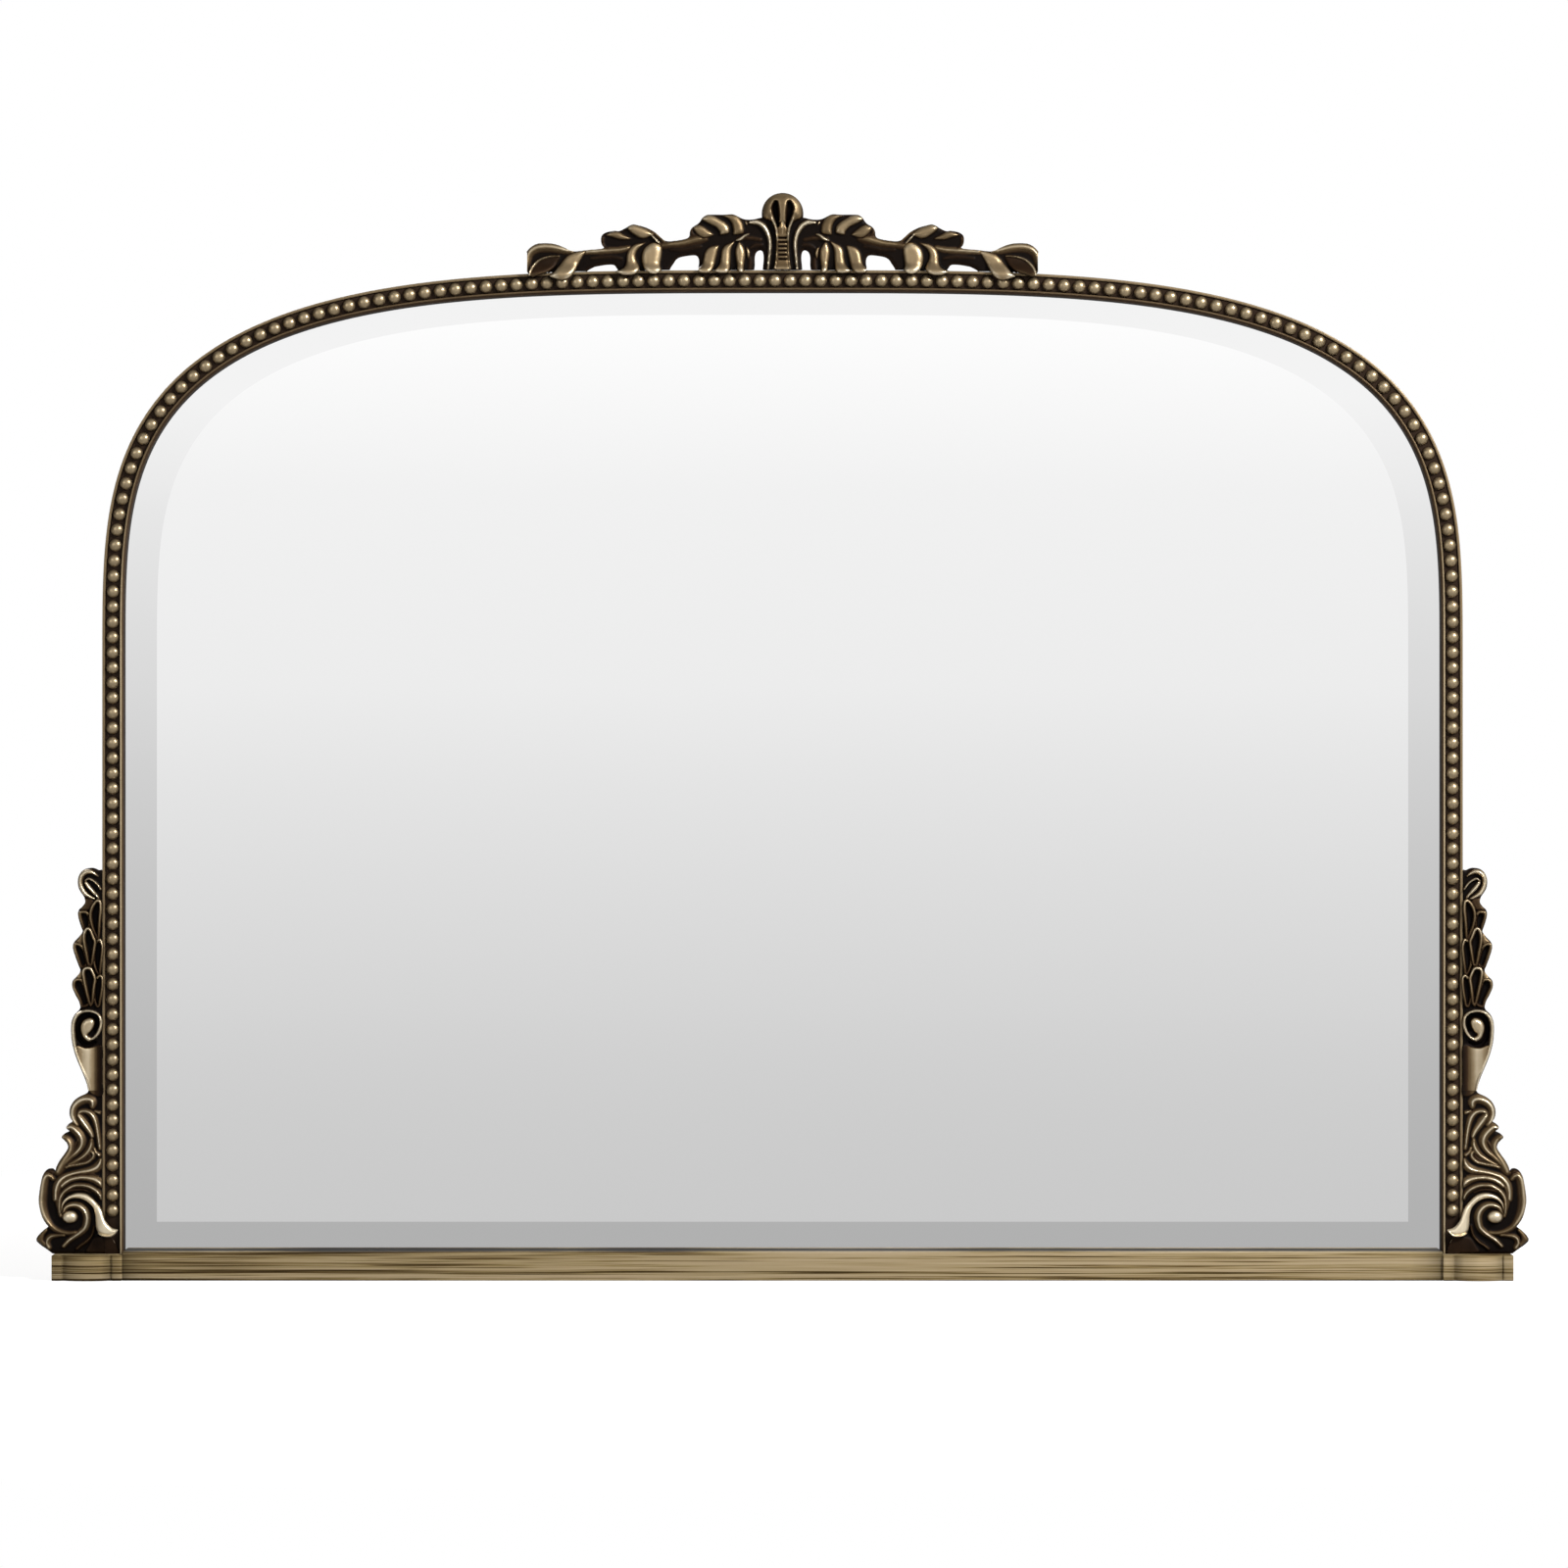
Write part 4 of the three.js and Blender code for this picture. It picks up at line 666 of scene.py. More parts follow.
def ridge(relief, x, z, rise, tone, places, sharp=0.25, flank=False):
    signed, width = alongStroke(x, z, places)
    fall = np.clip(np.abs(signed), 0, 1)
    shape = np.where(fall < 1, (1 - sharp) * np.sqrt(1 - fall ** 2) + sharp * (1 - fall), 0)
    height = rise * (carving["ridgeLow"] + (1 - carving["ridgeLow"]) * np.sqrt(width)) * shape
    higher = (fall < 1) & (height > relief["height"])
    if flank:
        height = carving["flankFoot"] + rise * (1 - fall)
        higher = (fall < 1) & relief["plate"] & (height > relief["height"])
        relief["height"][higher] = height[higher]
        relief["tone"][higher] = tone * np.interp(fall[higher], carving["flankAt"], carving["flankTones"])
    else:
        lay(relief, higher, height, tone * (0.25 + 0.75 * np.clip(shape * 1.25, 0, 1)))


def groove(relief, x, z, depth, places, dark=0.0):
    signed, _ = alongStroke(x, z, places)
    shape = np.clip(1 - signed ** 2, 0, 1)
    relief["height"] -= depth * shape
    relief["tone"] += (dark - relief["tone"]) * np.clip(shape * 1.25, 0, 1)


def blade(relief, x, z, rise, edge, tone, places, lean=(0, 0)):
    # A leaf: round at its edge, nearly level inside, and if asked leaning over to one side.
    outline = closedLine(places)
    depth = depthInside(x, z, outline)
    shape = np.sqrt(1 - (1 - np.clip(depth / edge, 0, 1)) ** 2)
    middle = outline.mean(axis=0)
    slope = lean[0] * (x - middle[0]) + lean[1] * (z - middle[1])
    height = carving["bladeFoot"] + (rise - carving["bladeFoot"] + slope) * shape
    lay(relief, depth > 0, height, tone * (0.3 + 0.7 * np.clip(depth / carving["bladeLine"], 0, 1)))


def dish(relief, x, z, rise, rim, tone, floor, places):
    # A hollow petal: a rim that is brightest at its tip and falls with a long slope into the waxed hollow.
    outline = closedLine(places)
    depth = depthInside(x, z, outline)
    up = (z - outline[:, 1].min()) / np.ptp(outline[:, 1])
    rise = rise * np.interp(up, [0, 1], [carving["footRise"], 1])
    tone = tone * np.interp(up, carving["tipAt"], carving["tipTones"])
    share = depth / rim
    outer = np.sqrt(1 - (1 - np.clip(share / 0.36, 0, 1)) ** 2)
    inner = 0.5 + 0.5 * np.cos(np.pi * np.clip((share - 0.4) / 0.6, 0, 1))
    shape = outer * inner
    wax = carving["darkestTone"]
    lay(relief, depth > 0, floor + (rise - floor) * shape, wax + (tone - wax) * shape ** 0.65)


def plainRidges(relief, x, z, strokes):
    for rise, tone, places in strokes:
        ridge(relief, x, z, rise, tone, places)


def ridges(relief, x, z, strokes):
    # Every ridge stands on a lower flank of its own, so that neighbours meet in a hollow; the flank darkens
    # towards its foot with dark wax and painted shade.
    times, more = carving["flankWider"]
    for rise, tone, places in strokes:
        wide = [(a, b, w * times + more) for a, b, w in places]
        ridge(relief, x, z, rise * carving["flankRise"], tone, wide, flank=True)
    plainRidges(relief, x, z, strokes)


def startRelief(x, z, plate, holes, look):
    # The plate's own edge is rounded over and keeps a thin line of gold.
    depth = depthInside(x, z, plate)
    for hole in holes:
        near = nearTo(x, z, hole, 6)
        depth[near] = np.minimum(depth[near], edgeDistance(x[near], z[near], hole))
    shape = np.sqrt(1 - (1 - np.clip(depth / look["groundEdge"], 0, 1)) ** 2)
    line = np.exp(-(depth / carving["edgeLine"]) ** 2) * (depth > 0)
    return {"height": look["groundRise"] * shape, "tone": look["groundTone"] + look["edgeTone"] * line,
            "laid": np.zeros(x.shape, bool), "plate": depth > carving["plateFrom"]}


def rampUp(value, low, high):
    share = np.clip((value - low) / (high - low), 0, 1)
    return share * share * (3 - 2 * share)


def soften(field, radius):
    reach = int(3 * radius) + 1
    weights = np.exp(-0.5 * (np.arange(-reach, reach + 1) / radius) ** 2)
    weights /= weights.sum()
    for axis in (0, 1):
        padded = np.pad(field, [(reach, reach) if a == axis else (0, 0) for a in (0, 1)], mode="edge")
        size = field.shape[axis]
        field = sum(w * np.take(padded, np.arange(k, k + size), axis) for k, w in enumerate(weights))
    return field


def carve(name, look, shift, reliefOf, keep, back, outlines):
    # A fine upright grid is raised into the relief, trimmed to its outline, then thickened to its back.
    x0, x1, z0, z1 = look["area"]
    pitch = look["pitch"]
    nx, nz = round((x1 - x0) / pitch), round((z1 - z0) / pitch)
    chooseOnly()
    bpy.ops.mesh.primitive_grid_add(x_subdivisions=nx, y_subdivisions=nz, size=1)
    piece = startPiece(name)
    co = points(piece)
    ix, iz = np.rint((co[:, 0] + 0.5) * nx).astype(int), np.rint((co[:, 1] + 0.5) * nz).astype(int)
    x, z = np.meshgrid(np.linspace(x0, x1, nx + 1), np.linspace(z0, z1, nz + 1))
    relief = reliefOf(x, z)
    height = soften(relief["height"], look["soften"] / pitch)
    # Hollows are darkened further the deeper they lie: dark wax, and painted shade standing in for the shadow
    # they hold.
    hollow = height - soften(height, look["closeCavity"] / pitch)
    tone = np.clip(soften(relief["tone"], carving["toneSoften"]) + look["toneClose"] * hollow, 0, 1)
    kept = keep(x, z, relief["laid"])
    movePoints(piece, np.column_stack([x[iz, ix] + shift[0], -height[iz, ix], z[iz, ix] + shift[1]]) * mm)
    setTone(piece, tone[iz, ix])
    choose(piece, ~kept[iz, ix])
    active("EDIT")
    bpy.ops.mesh.delete(type="VERT")
    bpy.ops.mesh.delete_loose(use_verts=True, use_edges=True, use_faces=False)
    active()
    dropCrumbs(piece)
    trimEdge(piece, [line + shift for line in outlines], pitch)
    active("EDIT")
    bpy.ops.mesh.select_all(action="SELECT")
    bpy.ops.mesh.extrude_region_move(TRANSFORM_OT_translate={"value": (0, carving["thicken"], 0)})
    active()
    behind = chosen(piece)
    co = points(piece) / mm
    co[behind, 1] = back(co[behind, 0] - shift[0], co[behind, 2] - shift[1])
    movePoints(piece, co * mm)
    tones = getTone(piece)
    tones[behind] = carving["backTone"]
    setTone(piece, tones)
    active("EDIT")
    bpy.ops.mesh.select_all(action="DESELECT")
    active()
    choose(piece, behind)
    active("EDIT")
    bpy.ops.mesh.dissolve_limited(angle_limit=math.radians(carving["flat"]))
    active()
    outwards()
    print(name, "carved:", len(piece.data.polygons), "faces")
    return piece


def dropCrumbs(piece):
    # Keeps the largest sheet of the trimmed grid and opens corners where two faces meet at one point only.
    mesh = bmesh.new()
    mesh.from_mesh(piece.data)
    while True:
        bmesh.ops.delete(mesh, geom=[e for e in mesh.edges if not e.link_faces], context="EDGES")
        bmesh.ops.delete(mesh, geom=[v for v in mesh.verts if not v.link_faces], context="VERTS")
        pinched = [v for v in mesh.verts if sum(e.is_boundary for e in v.link_edges) > 2]
        if not pinched:
            break
        bmesh.ops.delete(mesh, geom=pinched, context="VERTS")
    left, sheets = set(mesh.verts), []
    while left:
        sheet, queue = set(), [left.pop()]
        while queue:
            vertex = queue.pop()
            sheet.add(vertex)
            near = [e.other_vert(vertex) for e in vertex.link_edges]
            queue += [v for v in near if v in left]
            left.difference_update(near)
        sheets.append(sheet)
    largest = max(sheets, key=len)
    bmesh.ops.delete(mesh, geom=[v for v in mesh.verts if v not in largest], context="VERTS")
    mesh.to_mesh(piece.data)
    mesh.free()


def trimEdge(piece, outlines, pitch):
    # The stepped edge is drawn onto the true outline, and where there is none it is only smoothed.
    mesh = bmesh.new()
    mesh.from_mesh(piece.data)
    edge = {}
    for side in mesh.edges:
        if side.is_boundary:
            for vertex, other in (side.verts, reversed(side.verts)):
                edge.setdefault(vertex, []).append(other)
    pairs = [(vertex, others) for vertex, others in edge.items() if len(others) == 2]
    for _ in range(carving["smoothTurns"]):
        middle = [(others[0].co + others[1].co) / 2 for _, others in pairs]
        for (vertex, _), place in zip(pairs, middle):
            vertex.co.x += (place.x - vertex.co.x) * 0.5
            vertex.co.z += (place.z - vertex.co.z) * 0.5
    taken = set()
    for vertex in edge:
        x, z = vertex.co.x / mm, vertex.co.z / mm
        nearest, place = carving["edgeReach"] * pitch, None
        for line in outlines:
            a, b = line, np.roll(line, -1, axis=0)
            d = b - a
            u = np.clip(((x - a[:, 0]) * d[:, 0] + (z - a[:, 1]) * d[:, 1]) / ((d ** 2).sum(1) + 1e-12), 0, 1)
            foot = a + d * u[:, None]
            away = np.hypot(foot[:, 0] - x, foot[:, 1] - z)
            k = away.argmin()
            if away[k] < nearest:
                nearest, place = away[k], foot[k]
        if place is None:
            continue
        spot = tuple(np.rint(place / carving["spot"]).astype(int))
        if spot not in taken:  # no two corners of the sheet are drawn onto one spot
            taken.add(spot)
            vertex.co.x, vertex.co.z = place[0] * mm, place[1] * mm
    mesh.to_mesh(piece.data)
    mesh.free()


headTop = arch["springing"] + arch["rise"] + moulding["width"]
outerHalfWidth = arch["halfWidth"] + moulding["width"]


def outerEdge(x):
    share, power = np.clip(np.abs(x) / outerHalfWidth, 0, 1), arch["power"]
    return arch["springing"] + (arch["rise"] + moulding["width"]) * (1 - share ** power) ** (1 / power)


# The crest's left half, in x from the middle and z from the top of the head.
# Strokes: rise, gold, [x, z, half width]. Leaves: rise, edge, gold, [x, z].
crest = {
    "pitch": 0.55, "soften": 0.3, "closeCavity": 1.5, "toneClose": 0.12, "groundRise": 2.2, "groundEdge": 3.2,
    "groundTone": 0.12, "edgeTone": 0.26, "leafGold": 0.88, "leafLean": (-0.05, -0.06), "hollowTone": 0.14,
    "area": (-205.7, 205.7, -8.25, 63.25), "foot": 14, "dome": {"z": 45.3, "radius": 16.8, "steps": 24},
    "keepAbove": 0.3, "keepBelow": 0.9, "lipFrom": 0.25, "plateBack": 6, "lipBack": -1.8,
    "overHead": (5.2, -7, 4.5),
    "edge": [[-208, -6], [-208, 4], [-207.8, 11], [-205, 16.2], [-200, 20.3], [-195, 21.6], [-187, 21.5],
        [-181, 20.2], [-175, 17.7], [-169, 15.2], [-156.8, 16.2], [-144.5, 17.6], [-145.8, 21], [-146.3, 25],
        [-145.4, 28.2], [-142, 30.5], [-136, 31.7], [-131.5, 31.6], [-126, 34.2], [-121, 36.7], [-116, 36],
        [-110, 34.3], [-103, 30.6], [-98, 26.2], [-94.5, 23.7], [-88, 23.5], [-78, 25.2], [-75.2, 27.3],
        [-74.6, 31], [-72.6, 34.4], [-67.5, 38], [-64.5, 42], [-61, 44.4], [-56, 44.8], [-46, 44.7],
        [-40, 44.9], [-35, 42.7], [-30.5, 41], [-24, 40.9], [-18, 42.2]],
    "piercings": [
        [[-156.8, -1.2], [-153, 2.4], [-149, 3.6], [-142, 4.7], [-136.6, 4.7], [-134.4, 2.8], [-134.4, -1.2]],
        [[-90, -1.2], [-87.5, 6.4], [-84.3, 10], [-79, 11.6], [-71, 12.4], [-68.2, 10.8], [-67.3, 7],
          [-67.8, 2.8], [-69.8, -1.2]],
        [[-22.3, -1.2], [-22.3, 5], [-22.3, 11], [-21, 14.8], [-18.2, 16.4], [-16, 15.2], [-15.2, 10.6],
          [-15.6, 4.6], [-16.8, -1.2]],
    ],
    "stems": [
        (4.6, 0.72, [[-161, 14.6, 1.6], [-150, 15.2, 1.9], [-142, 15.8, 2], [-132, 16.3, 1.9],
          [-124, 17.8, 1.5]]),
        (4.8, 0.58, [[-98, 19.6, 1.8], [-90, 20.8, 2.4], [-82, 21.6, 2.7], [-75, 23.2, 3.2], [-68.6, 25, 3.4],
          [-62, 25.2, 1.6]]),
        (3, 0.3, [[-90, 16.4, 1.4], [-80, 16.6, 2], [-71, 18.6, 2.2], [-66, 19, 1.4]]),
        (3, 0.3, [[-26, 17.6, 1.2], [-22, 20, 1.8], [-17, 20.4, 1.4]]),
        (3, 0.32, [[-154, 9.6, 1.2], [-146, 10.4, 1.8], [-138, 10.8, 1.8], [-130, 9.4, 1.2]]),
        (3.6, 0.5, [[-110, 33.6, 0.7], [-103, 29.8, 1.1], [-98.5, 25.8, 1.1], [-95.5, 23, 1.1]]),
        (3.4, 0.36, [[-144.6, 25.8, 1.2], [-144.9, 22, 1.2], [-143.8, 19, 1.1], [-141, 17.6, 0.8]]),
        (3.4, 0.42, [[-36, 25.5, 1.2], [-31, 26, 1.5], [-25, 25.8, 1.5], [-18, 24.6, 1.2]]),
        (3.2, 0.36, [[-26.2, 10, 0.9], [-26, 5, 1.3], [-26.6, 0.6, 1.3]]),
        (3.4, 0.42, [[-73.6, 33.6, 1], [-73.2, 30, 1.4], [-70.6, 27, 1.8], [-66, 24.6, 1.6]]),
        (5.6, 0.72, [[-168.5, 14.4, 0.9], [-174, 15.7, 2], [-180, 17.4, 2.8], [-187, 18.7, 3], [-194, 18.8, 3],
          [-200, 17.2, 2.9], [-204.2, 13.4, 2.7], [-205.6, 8, 2.3], [-205.8, 2, 2], [-205.6, -3, 1.7]]),
    ],
    "leaves": [
        (4.6, 3.5, 0.34, [[-179, 11.2], [-187, 10.8], [-194, 9], [-199, 5.8], [-202, 1.5], [-204.6, -4],
          [-201.5, -6], [-195, -4.2], [-188, -1.5], [-183, 2.5], [-180, 7]]),
        (5.6, 4.6, 0.84, [[-158.4, 15.2], [-162, 15.4], [-167, 14.4], [-172, 12.6], [-176, 9.2], [-179.5, 4.6],
          [-182.5, 0.6], [-185, -2.8], [-188.2, -5.4], [-185, -6.7], [-181, -8.2], [-177, -9], [-173, -7.6],
          [-169.5, -4.6], [-166.5, 0], [-164, 5], [-161.3, 10]]),
        (5, 3.8, 0.67, [[-142.8, 27.9], [-139, 30.3], [-135, 31.4], [-131, 30.7], [-127.5, 28.7],
          [-121.6, 25.2], [-127, 24.1], [-132.5, 24.7], [-137, 26.2]]),
        (5.6, 4.3, 0.79, [[-125.2, 34.4], [-121, 36.6], [-116, 35.8], [-110, 33.5], [-106, 30.8],
          [-103.2, 28.6], [-106, 27.3], [-110, 25.6], [-114, 25.3], [-118, 27.1], [-122, 29.9], [-125, 32.8]]),
        (5.6, 4.3, 0.79, [[-109.6, 22.4], [-113.5, 21.9], [-117.5, 21.4], [-121.2, 19.6], [-124.2, 16.5],
          [-125.9, 12], [-126.3, 7], [-127.4, 3], [-130.4, 0.4], [-134.6, -1.2], [-132, -3.2], [-127, -4.8],
          [-121, -4.4], [-117, -2.6], [-115, 0.6], [-115.6, 4], [-117.3, 8], [-118, 12], [-116.3, 16.4],
          [-113, 19.6]]),
        (6.2, 6.4, 0.86, [[-104, 22.6], [-109, 20.2], [-112.6, 16], [-113.9, 10], [-113, 4], [-110.5, -0.6],
          [-106, -3.4], [-101, -3.3], [-97.6, -0.4], [-98.2, 4], [-97.4, 10], [-96.8, 15], [-97.3, 18.6],
          [-100, 21.6]]),
        (5.2, 4.1, 0.72, [[-72.2, 34.2], [-68, 36.5], [-64.3, 35.9], [-60, 33.1], [-55.3, 28.7], [-58, 26.8],
          [-62, 25.6], [-65.4, 26], [-68.8, 28.5], [-71.3, 31.5]]),
        (5.8, 4.3, 0.82, [[-65.2, 41.2], [-61, 44.2], [-56, 44.1], [-51, 41.7], [-46, 38.7], [-42.9, 35],
          [-42.6, 30.4], [-46, 28.6], [-50, 28.3], [-51.2, 31.2], [-54.3, 34.5], [-58, 36.3], [-62, 38.4]]),
        (5.2, 4.6, 0.67, [[-49.2, 44.1], [-40, 44.8], [-35, 42.5], [-31.8, 38], [-30.6, 33], [-31.4, 29.6],
          [-34, 28.6], [-39.6, 28.3], [-40.2, 33], [-41.3, 37.5], [-44, 41]]),
        (5.4, 4.3, 0.76, [[-51.4, 19.8], [-57, 19.4], [-61, 17.1], [-63.4, 13], [-64.4, 8], [-65.6, 4],
          [-68.9, 0], [-67, -2.2], [-63, -3], [-59, -2.5], [-56, 0.4], [-54.2, 5], [-53.1, 10], [-52.1, 14.5]]),
        (5.8, 4.3, 0.79, [[-38.2, 23.4], [-43, 21.7], [-47, 19.6], [-49.4, 15.5], [-50.1, 10], [-51.1, 5],
          [-53, 2], [-55.2, -0.9], [-52, -2.7], [-47, -3.2], [-43.4, -1.7], [-41.9, 3], [-41.5, 9], [-41.4, 14],
          [-40.4, 18.5]]),
        (5.8, 4.1, 0.79, [[-35, 23], [-37.4, 19.5], [-38.4, 15], [-38, 10], [-37.2, 5], [-36.5, 0],
          [-34.5, -2.3], [-31.4, -2], [-30.8, 3], [-30.1, 8], [-29.6, 12], [-30, 16], [-31.8, 20]]),
        (4.6, 2.0, 0.72, [[-29.8, 18.8], [-27.3, 17.6], [-25.8, 14], [-26.3, 11], [-28, 8.6], [-29, 12],
          [-29.4, 15]]),
    ],
    # The lines are raised ridges set bright along the leaves, partly painted highlight.
    "lines": [
        (6.4, 0.72, [[-180, 11.2, 0.7], [-188, 10.7, 1], [-195, 8.4, 1.3], [-200, 4.2, 1.6], [-203, -1, 1.6],
          [-204, -4.6, 1.1]]),
        (6, 0.9, [[-105.8, 28.4, 0.8], [-102.6, 25, 1], [-99.4, 21.8, 0.8]]),
        (6, 0.9, [[-37.4, 23.8, 0.8], [-33.8, 25, 1.7], [-30.2, 27.8, 1.3], [-27.4, 28.9, 0.7]]),
        (6.2, 0.95, [[-26.5, 38.2, 1.1], [-20.5, 38.2, 2.2], [-16, 36, 2.5], [-13, 32, 2.4], [-11, 27, 2.1],
          [-10.1, 21, 1.8], [-10.5, 14, 1.6], [-11.2, 7, 1.4], [-11.8, 1, 1.1]]),
        (4, 0.8, [[-29.6, 38.6, 0.9], [-28.8, 37, 1]]),
    ],
    "hood": (9, 12, 0.6, [[16.2, 45], [15.2, 52.4], [10.6, 58.8], [5, 61.5], [0, 62.1], [-5, 61.5],
        [-10.6, 58.8], [-15.2, 52.4], [-16.2, 45], [-14.6, 41.4], [-10.4, 39.5], [-6, 36.4], [0, 34], [6, 36.4],
        [10.4, 39.5], [14.6, 41.4]]),
    "vase": (5.4, 2.4, 0.6, [[0, 39], [-4.2, 36], [-4.7, 28], [-4.5, 20], [-4.8, 10], [-6, 0.6], [0, -0.2],
        [6, 0.6], [4.8, 10], [4.5, 20], [4.7, 28], [4.2, 36]]),
    "hollow": (6, [[-3.4, 35.5, 0.9], [-4.2, 40, 2.1], [-5.4, 45.5, 3.4], [-6, 50, 3.6], [-5.4, 54, 2.2]]),
    # The keyhole's strokes are raised and bright, the middle one partly painted highlight.
    "keyhole": [
        (8.4, 0.86, [[-10.6, 46.4, 0.4], [-8.8, 41.8, 0.9], [-6.8, 37.6, 1.2], [-5.3, 33.4, 1.2],
          [-4.6, 28.5, 1.1], [-4.4, 24, 0.9]]),
        (6.8, 0.62, [[-4.4, 26, 0.9], [-4.6, 16, 0.9], [-5.1, 8, 1], [-6, 1.2, 1.1]]),
        (7, 0.8, [[0, 53, 0.8], [0, 47, 1.5], [0, 41, 2.4], [0, 36, 2.2], [0, 31.5, 1.2]]),
    ],
    "grooves": {"count": 6, "first": 8.8, "pitch": 3.4, "halfWidth": 3.4, "halfHeight": 0.85, "depth": 2.2,
                "endSlope": 6, "wax": 0.95},
}


def crestOutlines():
    d, foot = crest["dome"], (0, crest["foot"])
    left = spline(crest["edge"], 6)
    start = math.atan2(left[-1][1] - d["z"], left[-1][0]) % (2 * math.pi)
    dome = [(d["radius"] * math.cos(a), d["z"] + d["radius"] * math.sin(a))
            for a in np.linspace(start, math.pi / 2, d["steps"])]
    left = np.vstack([left, dome])
    right = (left * (-1, 1))[::-1]
    holes = [closedLine(hole) for hole in crest["piercings"]]
    return np.vstack([[left[0] - foot], left, right, [right[-1] - foot]]), holes


def crestRelief(x, z):
    c = crest
    plate, holes = crestOutlines()
    x = -np.abs(x)
    relief = startRelief(x, z, plate, holes, c)
    ridges(relief, x, z, c["stems"])
    for rise, edge, tone, places in c["leaves"]:
        blade(relief, x, z, rise, edge, tone * c["leafGold"], places, lean=c["leafLean"])
    plainRidges(relief, x, z, c["lines"])
    for shape in ("hood", "vase"):
        blade(relief, x, z, *c[shape])
    # The hood's two hollows are cut in and darkened with painted shadow.
    groove(relief, x, z, *c["hollow"], dark=c["hollowTone"])
    g = c["grooves"]
    for index in range(g["count"]):
        dz = (z - g["first"] - index * g["pitch"]) / g["halfHeight"]
        cut = np.exp(-2 * dz ** 2) / (1 + np.exp(np.clip(g["endSlope"] * (-x - g["halfWidth"]), -50, 50)))
        relief["height"] -= g["depth"] * cut
        relief["tone"] *= 1 - g["wax"] * cut
    plainRidges(relief, x, z, c["keyhole"])
    rise, low, high = c["overHead"]
    relief["height"] += relief["laid"] * rise * rampUp(-z, low, high)
    return relief


def makeCrest():
    c = crest
    plate, holes = crestOutlines()
    holes = [line for hole in holes for line in (hole, (hole * (-1, 1))[::-1])]

    def keep(x, z, laid):
        lower = outerEdge(x) - headTop
        above = inside(x, z, plate) & (z > lower + c["keepAbove"])
        for line in holes:
            above &= ~inside(x, z, line)
        return above | (laid & (z <= lower + c["keepBelow"]))

    def back(x, z):
        return np.where(z > outerEdge(x) - headTop + c["lipFrom"], c["plateBack"], c["lipBack"])

    return carve("crestCasting", c, (0, headTop), crestRelief, keep, back, [plate, *holes])


crestPiece = makeCrest()
dress(crestPiece, "mirror", castGilt, ["crest"], smoothAngle=55)

